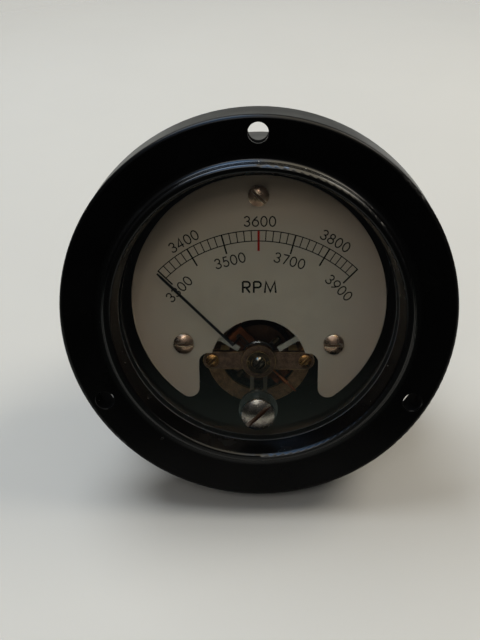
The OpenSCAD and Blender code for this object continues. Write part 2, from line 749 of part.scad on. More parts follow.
module rear_bridge() color([0.55, 0.45, 0.28]) in_place() at(pivot, 0) difference() {
    union() {
        translate([0, 0, z_rear_bridge_back]) linear_extrude(bridge_t) bridge_outline(boss_d);
        for (s = [-1, 1]) translate([s * pillar_x, 0])
            rod(pillar_d, z_rear_bridge - over, z_base_back);
    }
    rod(jewel_hole, z_rear_bridge_back - past, z_rear_bridge + past);
    for (s = [-1, 1]) translate([s * pillar_x, 0])
        rod(screw_hole, z_rear_bridge_back - past, z_base_back + past);
}

module rear_bridge_screws() color([0.65, 0.5, 0.25]) in_place() for (s = [-1, 1])
    at(pivot + [s * pillar_x, 0], z_rear_bridge_back)
        rear_screw(z_base - z_rear_bridge_back + grip - base_t, 0);

module rear_jewel_screw() color([0.6, 0.5, 0.35]) in_place() at(pivot, z_rear_screw_end)
    mirror([0, 0, 1]) jewel_screw(z_rear_jewel - z_rear_screw_end, 0);

module rear_jewel_nut() color([0.5, 0.4, 0.26]) in_place() at(pivot, 0)
    ring(lock_nut_r, jewel_hole / 2, z_rear_bridge_back - lock_nut_t, z_rear_bridge_back);

// The fixed arm that holds the rear hairspring, with a tag for the lead wire
tag_reach = 5.2;
tag_w = 1.6;
module rear_spring_arm() color([0.5, 0.5, 0.45]) in_place() at(pivot, 0) {
    translate([0, 0, z_rear_lever - lever_t]) linear_extrude(lever_t) difference() {
        union() {
            circle(r = lever_r);
            bar([0, 0], [0, tag_reach], tag_w);
        }
        circle(d = jewel_hole);
    }
    spring_stud(z_rear_lever - over, z_rear_spring);
}

// A flat spiral strip from the collet to its stud, by a steady growth of radius with angle
module hairspring(z_top) {
    r0 = collet_r + spring_t / 2 + over;
    r1 = spring_r;
    n = round(spring_turns * 28);
    mid = [for (i = [0:n]) r0 + (r1 - r0) * i / n];
    ang = [for (i = [0:n]) 360 * spring_turns * (i / n - 1)];
    outer = [for (i = [0:n]) (mid[i] + spring_t / 2) * [cos(ang[i]), sin(ang[i])]];
    inner = [for (i = [n:-1:0]) (mid[i] - spring_t / 2) * [cos(ang[i]), sin(ang[i])]];
    echo(hairspring_gap = (r1 - r0) / spring_turns - spring_t);
    translate([0, 0, z_top - spring_w]) linear_extrude(spring_w) polygon(concat(outer, inner));
}

module front_hairspring() color([0.6, 0.5, 0.3]) in_place() at(pivot, 0) hairspring(z_spring);

module rear_hairspring() color([0.6, 0.5, 0.3]) in_place() at(pivot, 0)
    hairspring(z_rear_spring);

// A frame round the core, open along the coil's width: half length r and end margins m
module coil_frame(r_out, r_in, m_out, m_in, corner) turned(rest_angle) rotate([90, 0, 90])
    translate([0, 0, -coil_w / 2]) linear_extrude(coil_w) difference() {
        rounded(r_out, z_core_back - m_out, z_core + m_out, corner);
        translate([-r_in, z_core_back - m_in]) square([2 * r_in, core_l + 2 * m_in]);
    }

// A rectangle of half width r between two heights, with round corners
module rounded(r, z0, z1, corner) {
    translate([-r, z0 + corner]) square([2 * r, z1 - z0 - 2 * corner]);
    translate([-r + corner, z0]) square([2 * r - 2 * corner, z1 - z0]);
    for (s = [-1, 1]) {
        translate([s * (r - corner), z0 + corner]) circle(r = corner);
        translate([s * (r - corner), z1 - corner]) circle(r = corner);
    }
}

module coil_winding() color([0.55, 0.24, 0.12]) in_place() at(pivot, 0)
    coil_frame(coil_r, former_r, coil_gap + former_t + winding_t, coil_gap + former_t, 0.7);

module coil_former() color([0.7, 0.7, 0.7]) in_place() at(pivot, 0)
    coil_frame(former_r, former_r - former_t, coil_gap + former_t, coil_gap, 0.1);

// A staff from its foot at height 0 through its collet and spindle to the jewel at height top
module staff(foot_t, collet, top) {
    rod(4 * spindle_r, 0, foot_t);
    rod(2 * spindle_r, 0, top - end_play);
    rod(2 * collet_r, collet, collet + spring_w);
    rod(2 * pivot_r, 0, top + pivot_l);
}

foot_t = 0.12;
module front_staff() color([0.7, 0.7, 0.68]) in_place() at(pivot, z_hub)
    staff(foot_t, z_spring - spring_w - z_hub, z_jewel - z_hub);

module rear_staff() color([0.7, 0.7, 0.68]) in_place() at(pivot, z_coil_back) mirror([0, 0, 1])
    staff(hub_t, z_coil_back - z_rear_spring, z_coil_back - z_rear_jewel);

// The cross on the coil's front that carries the pointer, its tail and the balance weights
module balance_arms() color([0.6, 0.6, 0.58]) in_place() at(pivot, z_hub - hub_t)
    turned(rest_angle) linear_extrude(hub_t) {
        circle(r = coil_w / 2);
        bar([0, -tail_arm_reach], [0, arm_reach], arm_w);
        bar([-cross_reach, 0], [cross_reach, 0], 0.7 * arm_w);
    }

module balance_weights() color([0.6, 0.5, 0.3]) in_place() at(pivot, z_hub)
    turned(rest_angle) for (s = [-1, 1]) translate([s * cross_reach, 0, weight_d / 2])
        rotate([0, 90, 0]) cylinder(d = weight_d, h = weight_l, center = true);

// The pointer: its side view is a bent strip, and its plan narrows to the tip
root_reach = spring_r + 0.5;
tip_taper = 1.2;
module pointer() color([0.04, 0.04, 0.04]) in_place() at(pivot, 0) turned(rest_angle)
    intersection() {
        rotate([90, 0, 90]) translate([0, 0, -1]) linear_extrude(2) polygon([
            [root_reach, z_hub], [crank_in_r, z_hub], [crank_r, z_pointer],
            [tip_reach, z_pointer], [tip_reach, z_pointer + blade_t],
            [crank_r - blade_t, z_pointer + blade_t], [crank_in_r - blade_t, z_hub + blade_t],
            [root_reach, z_hub + blade_t]
        ]);
        translate([0, 0, z_hub - past]) linear_extrude(z_pointer - z_hub + 2 * past) polygon([
            [-blade_w / 2, 0], [blade_w / 2, 0], [blade_w / 2, tip_reach - tip_taper],
            [blade_w / 4, tip_reach], [-blade_w / 4, tip_reach],
            [-blade_w / 2, tip_reach - tip_taper]
        ]);
    }

// A round bar along the tail, between two radii from the pivot
module tail_rod(d, r0, r1) turned(rest_angle) translate([0, -r0, tail_d / 2])
    rotate([90, 0, 0]) cylinder(d = d, h = r1 - r0, $fn = 32);

module pointer_tail() color([0.7, 0.35, 0.18]) in_place() at(pivot, z_hub)
    tail_rod(tail_d, root_reach, tail_reach);

tail_weight_r = tail_weight_at - tail_weight_l / 2;
module tail_weight() color([0.75, 0.4, 0.2]) in_place() at(pivot, z_hub) difference() {
    tail_rod(tail_weight_d, tail_weight_r, tail_weight_r + tail_weight_l);
    tail_rod(tail_d + 2 * over, root_reach, tail_reach + past);
}

module pointer_stops() color([0.75, 0.75, 0.72]) in_place() at(pivot, 0) for (s = [-1, 1])
    turned(s * stop_angle) {
        translate([0, 0, z_stop - stop_t]) linear_extrude(stop_t) difference() {
            translate([-stop_w / 2, stop_reach]) square([stop_w, pillar_x - stop_reach]);
            circle(r = stop_reach);
        }
        translate([0, pillar_x, 0]) rod(1.4 * stop_w, z_ring, z_stop);
    }

// The terminal studs: slimmer where the nuts bite, full size at the free ends
stud_chamfer = 0.5;
module terminal_studs() color([0.72, 0.6, 0.35]) in_place() for (p = stud_at) at(p, 0) {
    rod(stud_core_d, z_nut_end - over, z_floor + lug_t + nut_t + stud_chamfer);
    rod(stud_d, z_back - stud_reach + stud_chamfer, z_nut_end);
    translate([0, 0, z_back - stud_reach])
        cylinder(d1 = stud_d - 2 * stud_chamfer, d2 = stud_d, h = stud_chamfer);
}

// Solder lugs inside the case, each with a tail towards the movement
lug_tail = 7;
lug_w = 2;
eye_at = lug_tail - 0.3;
lug_aim_x = 1.2;
lug_aim_rise = 4.1;
lug_way = [for (p = stud_at) pivot + [sign(p[0]) * lug_aim_x, lug_aim_rise] - p];
lug_aim = [for (v = lug_way) v / norm(v)];
module terminal_lugs() color([0.7, 0.7, 0.66]) in_place() for (i = [0, 1])
    at(stud_at[i], z_floor) linear_extrude(lug_t) difference() {
        union() {
            circle(d = nut_af);
            bar([0, 0], lug_tail * lug_aim[i], lug_w);
        }
        circle(d = nut_hole);
        translate(eye_at * lug_aim[i]) circle(d = 0.4 * lug_w);
    }

module inner_nuts() color([0.72, 0.6, 0.35]) in_place() for (p = stud_at) at(p, 0)
    hex_nut(z_floor + lug_t, z_floor + lug_t + nut_t);

module terminal_washers() color([0.75, 0.73, 0.68]) in_place() for (p = stud_at) at(p, 0) {
    ring(washer_d / 2, nut_hole / 2, z_nut, z_back);
    ring(washer_d / 2, nut_hole / 2, z_lock, z_nut_back);
}

module terminal_lock_washers() color([0.6, 0.6, 0.58]) in_place() for (p = stud_at) at(p, 0)
    difference() {
        ring(lock_washer_r, nut_hole / 2, z_outer_nut, z_lock);
        rotate([0, 0, 35]) translate([0, -split_gap / 2, z_outer_nut - past])
            cube([washer_d, split_gap, washer_t + 2 * past]);
    }

module terminal_nuts() color([0.72, 0.6, 0.35]) in_place() for (p = stud_at) at(p, 0) {
    hex_nut(z_nut_back, z_nut);
    rotate([0, 0, 20]) hex_nut(z_nut_end, z_outer_nut);
}

// One lead runs to the rear spring arm's tag and the other to the base plate. Each bends at its
// own place beside the pivot.
tag_lead_x = 4;
tag_lead_rise = 5.9;
tag_joint = 1;
base_lead_x = 4.6;
base_lead_rise = 6.5;
base_joint_x = 3.2;
base_joint_rise = 7.1;
module lead_wires() color([0.6, 0.25, 0.15]) in_place() {
    lug_z = z_floor + lug_t + wire_d / 2;
    starts = [for (i = [0, 1]) stud_at[i] + eye_at * lug_aim[i]];
    tag = pivot + [0, tag_reach];
    tag_z = z_rear_bridge - wire_d / 2;
    base_z = z_base_back - wire_d / 2;
    tag_bend = pivot + [-tag_lead_x, tag_lead_rise];
    base_bend = pivot + [base_lead_x, base_lead_rise];
    base_joint = pivot + [base_joint_x, base_joint_rise];
    wire([
        [starts[0][0], starts[0][1], lug_z], [tag_bend[0], tag_bend[1], lug_z],
        [tag[0] - tag_joint, tag[1], tag_z], [tag[0], tag[1], tag_z]
    ]);
    wire([
        [starts[1][0], starts[1][1], lug_z], [base_bend[0], base_bend[1], lug_z],
        [base_bend[0], base_bend[1], base_z], [base_joint[0], base_joint[1], base_z]
    ]);
}

front_housing();
rear_case();
case_screws();
window_glass();
front_gasket();
rear_gasket();
zero_screw();
zero_screw_seal();
zero_screw_collar();
zero_lever();
dial_plate();
dial_screws();
dial_posts();
base_plate();
movement_screws();
yoke_ring();
ring_plate();
core_magnet();
core_supports();
front_bridge();
bridge_pillars();
bridge_screws();
front_jewel_screw();
front_jewel_nut();
rear_bridge();
rear_bridge_screws();
rear_jewel_screw();
rear_jewel_nut();
rear_spring_arm();
front_hairspring();
rear_hairspring();
coil_winding();
coil_former();
front_staff();
rear_staff();
balance_arms();
balance_weights();
pointer();
pointer_tail();
tail_weight();
pointer_stops();
terminal_studs();
terminal_lugs();
inner_nuts();
terminal_washers();
terminal_lock_washers();
terminal_nuts();
lead_wires();
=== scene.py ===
"""Looks of a round flush-panel tachometer indicator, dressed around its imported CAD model."""

import functools
import json
import math

import bpy
import numpy as np
from bpy.props import FloatProperty, FloatVectorProperty, IntProperty, PointerProperty
from bpy.types import NodeSocket, Operator, Panel, PropertyGroup
from mathutils import Matrix, Quaternion, Vector


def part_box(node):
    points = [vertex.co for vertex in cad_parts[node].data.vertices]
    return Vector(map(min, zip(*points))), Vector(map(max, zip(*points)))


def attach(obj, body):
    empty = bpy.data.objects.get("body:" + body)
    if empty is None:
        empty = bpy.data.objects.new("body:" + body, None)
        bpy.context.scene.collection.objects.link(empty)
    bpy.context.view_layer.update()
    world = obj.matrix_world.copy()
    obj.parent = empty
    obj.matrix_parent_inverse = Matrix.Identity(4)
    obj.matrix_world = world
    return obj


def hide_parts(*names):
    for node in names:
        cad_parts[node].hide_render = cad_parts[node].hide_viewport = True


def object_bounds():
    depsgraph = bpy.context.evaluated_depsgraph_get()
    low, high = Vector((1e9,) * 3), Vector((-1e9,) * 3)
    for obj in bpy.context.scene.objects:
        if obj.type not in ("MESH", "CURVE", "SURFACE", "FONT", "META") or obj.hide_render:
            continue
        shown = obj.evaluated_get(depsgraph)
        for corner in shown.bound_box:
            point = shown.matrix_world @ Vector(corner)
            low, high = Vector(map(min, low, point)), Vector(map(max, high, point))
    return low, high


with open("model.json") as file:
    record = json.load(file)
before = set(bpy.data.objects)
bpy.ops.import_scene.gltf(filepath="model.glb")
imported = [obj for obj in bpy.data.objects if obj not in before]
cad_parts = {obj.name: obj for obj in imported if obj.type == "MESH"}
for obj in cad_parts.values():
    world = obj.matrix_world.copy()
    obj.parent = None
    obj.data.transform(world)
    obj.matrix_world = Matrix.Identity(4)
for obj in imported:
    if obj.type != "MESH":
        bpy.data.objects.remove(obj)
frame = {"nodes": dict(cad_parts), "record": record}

bl_info = {
    "name": "Panel Tachometer",
    "version": (1, 0, 0),
    "blender": (4, 5, 0),
    "location": "View3D > Sidebar > Tachometer",
    "description": "Finishes, dial print and fine windings of a round panel tachometer",
    "category": "Add Mesh",
}

MM = 0.001
ORIGIN = (0, 0, 0)
CAD_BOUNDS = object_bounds()
PIVOT = next(
    joint["pos_m"]
    for joint in frame["record"]["behaviour"]["joints"]
    if joint["name"] == "pointer_swing"
)
DIAL_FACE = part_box("dial_plate")[0][1]
REST_ANGLE = -45.0


# Properties


def colour(name, of, *rgb):
    """A colour property with a linear default."""
    text = "Colour of the " + of
    return FloatVectorProperty(
        name=name, description=text, subtype="COLOR", size=3, min=0, max=1, default=rgb
    )


def share(name, description, default):
    """A property between nothing and all."""
    return FloatProperty(
        name=name, description=description, default=default, min=0, max=1, subtype="FACTOR"
    )


def number(name, description, default, unit="NONE"):
    """A number, with a unit where one fits."""
    return FloatProperty(name=name, description=description, default=default, unit=unit)


def length(name, description, millimetres):
    """A length property given in millimetres."""
    return number(name, description, millimetres * MM, "LENGTH")


def rotation(name, description, degrees):
    """An angle property given in degrees."""
    return number(name, description, math.radians(degrees), "ROTATION")


class MouldingLook(PropertyGroup):
    """The black moulded case."""

    black: colour("Moulding", "phenolic moulding", 0.002, 0.0019, 0.002)
    inside: colour("Rear case", "rear case", 0.0045, 0.0026, 0.0022)
    worn: colour("Worn edges", "moulding where its edges are rubbed", 0.03, 0.028, 0.027)
    dust_tone: colour("Dust", "dust and the scratches", 0.42, 0.41, 0.38)
    rubber: colour("Gasket", "gaskets", 0.008, 0.009, 0.008)
    gloss: share("Roughness", "Roughness of the front moulding", 0.09)
    shine: share("Flange's shine", "How strongly the flange reflects", 0.07)
    bezel_shine: share("Bezel's shine", "How strongly the bezel is polished", 0.5)
    skirt_shine: share("Skirt's shine", "How strongly the skirt is polished", 0.14)
    polish: share("Polish", "Roughness of the polished bezel and skirt", 0.2)
    bezel_from: length("Bezel's bore", "Radius from which the bezel is polished", 24.7)
    bezel_to: length("Bezel", "Radius to which the bezel is polished", 27.1)
    skirt_from: length("Skirt", "Radius from which the moulding is the skirt", 33.1)
    hollow_from: length("Hollow", "Depth from which the moulding's back is dull", -8.9)
    dust: share("Dust amount", "How much dust lies on the moulding", 0.9)
    scratches: share("Scratches", "How many fine scratches the moulding has", 0.2)


class WindowLook(PropertyGroup):
    """The clear window."""

    tint: colour("Tint", "clear window", 0.97, 1.0, 0.985)
    haze: share("Haze", "Roughness of the window where it is smudged", 0.03)


class DialLook(PropertyGroup):
    """The dial and what is printed on it."""

    paint: colour("Paint", "dial's paint", 0.308, 0.248, 0.186)
    # Painted shade: the dial's paint darkens towards its rim, where the case shades it.
    tan: colour("Tan", "paint towards its rim", 0.27, 0.194, 0.142)
    ink: colour("Ink", "printed scale", 0.004, 0.0035, 0.0035)
    red: colour("Red mark", "mark at 3600", 0.28, 0.008, 0.007)
    screw: colour("Dial screws", "dial screws", 0.38, 0.245, 0.17)
    outer_arc: length("Outer arc", "Radius of the scale's outer arc", 25.08)
    inner_arc: length("Inner arc", "Radius of the scale's inner arc", 23.2)
    major_end: length("Long marks", "Radius where the numbered marks end", 21.57)
    line: length("Line", "Width of the scale's thin lines", 0.17)
    bold: length("Bold line", "Width of the numbered marks", 0.28)
    digit: length("Digit height", "Height of the scale's numbers", 1.7)
    digit_line: length("Digit line", "Width of the numbers' strokes", 0.22)
    inner_numbers: length("Inner numbers", "Radius of the numbers within the arcs", 20.25)
    outer_numbers: length("Outer numbers", "Radius of the numbers outside the arcs", 26.6)
    title: length("Title height", "Height of the title", 2.03)
    title_line: length("Title line", "Width of the title's strokes", 0.34)
    film: length("Ink thickness", "Height of the print above the dial", 0.02)
    first: IntProperty(name="First number", description="Number at the left end", default=3300)
    step: IntProperty(name="Step", description="Step from one number to the next", default=100)
    span: rotation("Span", "Angle of the scale", 90)
    shortfall: rotation("Shortfall", "Angle by which the scale's right end falls short", 1.3)


class MovementLook(PropertyGroup):
    """The metals of the movement."""

    bronze: colour("Bronze", "bridges", 0.24, 0.14, 0.09)
    # Painted highlight along the edges of the bridges and nuts, as well as rubbed bronze.
    bronze_edge: colour("Rubbed bronze", "bridges' edges", 0.62, 0.40, 0.16)
    plate: colour("Ring plate", "plate on the yoke", 0.52, 0.29, 0.145)
    iron: colour("Yoke", "soft iron yoke", 0.09, 0.065, 0.05)
    magnet: colour("Magnet", "core magnet", 0.10, 0.05, 0.03)
    brass: colour("Brass", "brass pieces", 0.55, 0.37, 0.16)
    steel: colour("Steel", "bright steel pieces", 0.60, 0.58, 0.54)
    aluminium: colour("Aluminium", "base plate", 0.55, 0.54, 0.50)
    lever: colour("Levers", "zero lever and the spring arm", 0.21, 0.17, 0.125)
    copper: colour("Copper", "copper wire", 0.38, 0.115, 0.036)
    shaded: colour("Shaded copper", "wire near the pivot", 0.10, 0.032, 0.014)
    black: colour("Pointer", "pointer's paint", 0.004, 0.004, 0.0045)
    wire: length("Winding wire", "Spacing of the coil's wires", 0.12)
    tail_wire: length("Weight wire", "Spacing of the turns on the pointer's tail", 0.27)


class TerminalLook(PropertyGroup):
    """The terminals on the back."""

    brass: colour("Terminal brass", "studs and nuts", 0.38, 0.235, 0.095)
    plating: colour("Plating", "washers and screws", 0.34, 0.325, 0.29)
    tin: colour("Solder", "tinned lugs", 0.45, 0.45, 0.43)
    pitch: length("Thread pitch", "Pitch of the terminal studs' thread", 0.79)
    groove: length("Thread depth", "Depth of the terminal studs' thread", 0.42)


class StageLook(PropertyGroup):
    """Camera, floor and lamps."""

    floor: colour("Floor", "floor", 0.635, 0.615, 0.575)
    backdrop: colour("Backdrop", "backdrop", 0.56, 0.555, 0.52)
    gleam: colour("Gleam", "reflection from overhead left", 0.22, 0.52, 1.0)
    glow: colour("Glow", "reflection from overhead right", 0.85, 0.76, 0.58)
    below: colour("Below", "reflection from below", 0.10, 0.125, 0.105)
    gleam_strength: number("Gleam strength", "Strength of both overhead reflections", 5.0)
    lean: rotation("Lean", "How far the object leans back on the floor", 19.77)
    top_power: number("Top lamp", "Power of the top lamp", 3.0)
    side_power: number("Side lamp", "Power of the side lamp", 1.8)
    front_power: number("Front lamp", "Power of the front lamp", 0.45)
    fill: share("Fill", "Brightness of the room round the object", 0.154)
    lens: number("Lens", "Focal length", 54.06, "CAMERA")


LOOKS = {
    "moulding": MouldingLook,
    "window": WindowLook,
    "dial": DialLook,
    "movement": MovementLook,
    "terminals": TerminalLook,
    "stage": StageLook,
}


# Surfaces


def grid_faces(rows, cols, wrap_rows=False, wrap_cols=False):
    """Quads between neighbouring points of a grid; a wrapped direction closes on itself."""
    r = np.arange(rows if wrap_rows else rows - 1)[:, None]
    c = np.arange(cols if wrap_cols else cols - 1)[None, :]
    r2, c2 = (r + 1) % rows, (c + 1) % cols
    quads = [r * cols + c, r * cols + c2, r2 * cols + c2, r2 * cols + c]
    return np.stack(quads, axis=-1).reshape(-1, 4).tolist()


def outward(points, faces):
    """Turns all faces round when the volume that they enclose comes out negative."""
    fans = np.array([(f[0], *f[k : k + 2]) for f in faces for k in range(1, len(f) - 1)])
    a, b, c = points[fans.T]
    return faces if np.einsum("ij,ij->", a, np.cross(b, c)) > 0 else [f[::-1] for f in faces]


def linked(name, data):
    """A new object in the scene."""
    made = bpy.data.objects.new(name, data)
    bpy.context.scene.collection.objects.link(made)
    return made


def make_piece(name, parts, material, body, replaced=(), smooth=False):
    """A mesh object at the origin from closed parts, riding on its body."""
    faces, count = [], 0
    for points, own in parts:
        faces += [[i + count for i in face] for face in outward(points, own)]
        count += len(points)
    mesh = bpy.data.meshes.new(name)
    mesh.from_pydata(np.concatenate([points for points, _ in parts]).tolist(), [], faces)
    mesh.materials.append(material)
    mesh.polygons.foreach_set("use_smooth", np.full(len(mesh.polygons), smooth))
    mesh.update()
    piece = linked(name, mesh)
    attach(piece, body)
    if replaced:
        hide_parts(*replaced)


def unit(vectors):
    """Vectors brought to length 1."""
    return vectors / np.linalg.norm(vectors, axis=1, keepdims=True)


def ribbon(path, width, depths, closed=False):
    """A flat strip along a path of (x, z) points, between two depths.

    Each point moves half the width to both sides along the mitred normal, once at each depth, so
    four corners follow the path. An open path is shut by a quad at each end.
    """
    path = np.asarray(path, float)
    ahead = np.roll(path, -1, axis=0) - path
    behind = path - np.roll(path, 1, axis=0)
    if not closed:
        ahead[-1], behind[0] = behind[-1], ahead[0]
    ahead, behind = unit(ahead), unit(behind)
    quarter_turn = np.array([[0, 1], [-1, 0]])
    normal = unit((ahead + behind) @ quarter_turn)
    stretch = np.clip(np.einsum("ij,ij->i", normal, ahead @ quarter_turn), 0.5, 1)
    side = normal * (width / 2 / stretch)[:, None]
    edges = np.stack([path + side, path - side, path - side, path + side], axis=1)
    depth = np.broadcast_to(np.repeat(depths, 2), edges.shape[:2])
    points = np.stack([edges[..., 0], depth, edges[..., 1]], axis=-1).reshape(-1, 3)
    faces = grid_faces(len(path), 4, wrap_rows=closed, wrap_cols=True)
    if not closed:
        last = 4 * (len(path) - 1)
        faces += [[3, 2, 1, 0], [last, last + 1, last + 2, last + 3]]
    return points, faces


def shut_tube(rings):
    """A tube from an array of rings, shut by fans to the first and the last ring's centre."""
    rows, cols = rings.shape[:2]
    ends = np.stack([rings[0].mean(axis=0), rings[-1].mean(axis=0)])
    faces = grid_faces(rows, cols, wrap_cols=True)
    c = np.arange(cols)
    n, last = rows * cols, (rows - 1) * cols
    faces += np.stack([np.full(cols, n), (c + 1) % cols, c], axis=-1).tolist()
    faces += np.stack([np.full(cols, n + 1), last + c, last + (c + 1) % cols], axis=-1).tolist()
    return np.concatenate([rings.reshape(-1, 3), ends]), faces


def wound(name, points, material, replaced):
    """A smooth closed piece on the pointer from a grid of points that wraps both ways."""
    faces = grid_faces(*points.shape[:2], wrap_rows=True, wrap_cols=True)
    parts = [(points.reshape(-1, 3), faces)]
    make_piece(name, parts, material, "pointer", [replaced], smooth=True)


# Lettering, drawn with strokes in a box of height 1


def arc(cx, cy, rx, ry, start, end, n=20):
    """Points of an oval arc: its centre plus its radii times the cosine and sine of the angle."""
    t = np.radians(np.linspace(start, end, n))
    return np.column_stack([cx + rx * np.cos(t), cy + ry * np.sin(t)])


def oval(cx, cy, rx, ry):
    """A closed stroke: a whole oval without its last point."""
    return arc(cx, cy, rx, ry, 0, 360, 33)[:-1], True


def stroke(*points):
    """An open stroke through points."""
    return np.array(points, float), False


STEM = stroke((0, 0), (0, 1))
BOWL = stroke((0, 1), *arc(0.36, 0.74, 0.26, 0.26, 90, -90), (0, 0.48))
THREE = (*arc(0.27, 0.75, 0.25, 0.25, 165, -90), *arc(0.27, 0.25, 0.29, 0.25, 90, -165)[1:])
SIX = [
    oval(0.31, 0.32, 0.31, 0.32),
    stroke(*np.column_stack([0.01 + 0.5 * np.linspace(0, 1, 14) ** 1.6, np.linspace(0.34, 1, 14)])),
]
GLYPHS = {
    "0": (0.62, [oval(0.31, 0.5, 0.31, 0.5)]),
    "3": (0.58, [stroke(*THREE)]),
    "4": (0.64, [stroke((0.47, 0), (0.47, 1), (0, 0.27), (0.64, 0.27))]),
    "5": (0.58, [stroke((0.52, 1), (0.14, 1), *arc(0.27, 0.31, 0.29, 0.31, 125, -155))]),
    "6": (0.62, SIX),
    "7": (0.58, [stroke((0, 1), (0.58, 1), (0.2, 0))]),
    "8": (0.6, [oval(0.3, 0.765, 0.235, 0.235), oval(0.3, 0.265, 0.3, 0.265)]),
    "9": (0.62, [(np.array([0.62, 1]) - points, closed) for points, closed in SIX]),
    "R": (0.62, [STEM, BOWL, stroke((0.28, 0.48), (0.62, 0))]),
    "P": (0.62, [STEM, BOWL]),
    "M": (0.96, [stroke((0, 0), (0.1, 1), (0.48, 0.12), (0.86, 1), (0.96, 0))]),
}


def lettered(text, centre, angle, height, width, depths, gap):
    """Ribbons for a line of text whose middle is at a place and whose upright is turned clockwise.

    The letters stand side by side with the gap, in shares of the height, between them.
    """
    total = sum(GLYPHS[c][0] for c in text) + gap * (len(text) - 1)
    across = np.array([math.cos(angle), -math.sin(angle)])
    upward = np.array([math.sin(angle), math.cos(angle)])
    at, parts = -total / 2, []
    for c in text:
        wide, strokes = GLYPHS[c]
        for points, closed in strokes:
            u = (at + points[:, :1]) * height
            v = (points[:, 1:] - 0.5) * height
            path = centre + u * across + v * upward
            parts.append(ribbon(path, width, depths, closed))
        at += wide + gap
    return parts


# Nodes


def fill(node, inputs):
    """Fills a node's inputs with links or plain values."""
    for key, value in inputs.items():
        if isinstance(value, NodeSocket):
            node.id_data.links.new(value, node.inputs[key])
        else:
            node.inputs[key].default_value = value
    return node


def put(kind, inputs=(), tree=None, **settings):
    """Adds a node to a tree, or to that of its first link, and fills its settings and inputs."""
    values = dict(inputs)
    tree = tree or next(v.id_data for v in values.values() if isinstance(v, NodeSocket))
    node = tree.nodes.new(kind)
    for key, value in settings.items():
        setattr(node, key, value)
    return fill(node, values)


def calc(operation, a, b=0.0, clamp=False):
    """The result of one operation on numbers."""
    node = put("ShaderNodeMath", {0: a, 1: b}, operation=operation, use_clamp=clamp)
    return node.outputs[0]


def times(a, b, clamp=False):
    """The product of two values."""
    return calc("MULTIPLY", a, b, clamp)


def vector_calc(operation, a, b=ORIGIN):
    """The result of one operation on vectors: a vector, or else a number."""
    node = put("ShaderNodeVectorMath", {0: a, 1: b}, operation=operation)
    return node.outputs["Vector" if operation in ("MULTIPLY", "SUBTRACT") else "Value"]


def between(value, low, high, to_low=0.0, to_high=1.0):
    """A value taken from one range to another with soft ends."""
    inputs = {0: value, "From Min": low, "From Max": high, "To Min": to_low, "To Max": to_high}
    node = put("ShaderNodeMapRange", inputs, interpolation_type="SMOOTHSTEP")
    return node.outputs["Result"]


def blended(mask, a, b):
    """Two colours mixed by a mask."""
    a, b = (value if isinstance(value, NodeSocket) else (*value, 1.0) for value in (a, b))
    return put("ShaderNodeMix", {0: mask, 6: a, 7: b}, data_type="RGBA").outputs[2]


def mixed(mask, a, b):
    """Two shaders mixed by a mask."""
    return put("ShaderNodeMixShader", {0: mask, 1: a, 2: b}).outputs[0]


def noise(where, scale, detail=2.0, **more):
    """The value of a noise pattern."""
    inputs = {"Vector": where, "Scale": scale, "Detail": detail, **more}
    return put("ShaderNodeTexNoise", inputs).outputs["Fac"]


def own_place(tree):
    """Where a point lies in its object."""
    return put("ShaderNodeTexCoord", tree=tree).outputs["Object"]


def height_of(tree, axis="Z"):
    """How far up a point lies, or how far along another axis."""
    return put("ShaderNodeSeparateXYZ", {0: own_place(tree)}).outputs[axis]


def radius_of(tree, centre=ORIGIN):
    """How far a point lies from the axis through a place."""
    apart = vector_calc("SUBTRACT", own_place(tree), centre)
    return vector_calc("LENGTH", vector_calc("MULTIPLY", apart, (1, 0, 1)))


def from_pivot(tree):
    """How far a point lies from the pointer's axis."""
    return radius_of(tree, PIVOT)


# Shared effects


def shared_effect(title, **defaults):
    """Makes a function that places a node group from one that builds its nodes.

    The group is built once, when it is first placed. The kind of an input follows from its default
    value. The building function takes the group's inputs and returns its outputs.
    """

    def add(tree, label, way, kind):
        return tree.interface.new_socket(label, in_out=way, socket_type="NodeSocket" + kind)

    def made_from(build):
        @functools.cache
        def group():
            tree = bpy.data.node_groups.new(title, "ShaderNodeTree")
            for label, value in defaults.items():
                size = len(value) if isinstance(value, tuple) else 1
                kind = {1: "Float", 3: "Vector", 4: "Color"}[size]
                add(tree, label, "INPUT", kind).default_value = value
            start = tree.nodes.new("NodeGroupInput").outputs
            results = build(*(start[label] for label in defaults))
            for label in results:
                add(tree, label, "OUTPUT", "Color" if label == "Color" else "Float")
            put("NodeGroupOutput", results)
            return tree

        def place(tree, **inputs):
            return put("ShaderNodeGroup", inputs, tree, node_tree=group()).outputs

        return place

    return made_from


@shared_effect("Dust specks", Vector=ORIGIN, Scale=900.0, Amount=0.5)
def dust_specks(where, scale, amount):
    """Dust: round specks in a share of the cells of a fine Voronoi pattern."""
    cells = put("ShaderNodeTexVoronoi", {"Vector": where, "Scale": scale}).outputs
    pick = put("ShaderNodeSeparateColor", {"Color": cells["Color"]}).outputs
    size = times(calc("POWER", pick[1], 2.0), 0.2)
    dot = calc("LESS_THAN", cells["Distance"], size)
    patches = between(noise(where, 130.0), 0.35, 0.75)
    density = times(patches, amount)
    rare = calc("LESS_THAN", pick[0], times(density, 0.35))
    return {"Mask": times(dot, rare)}


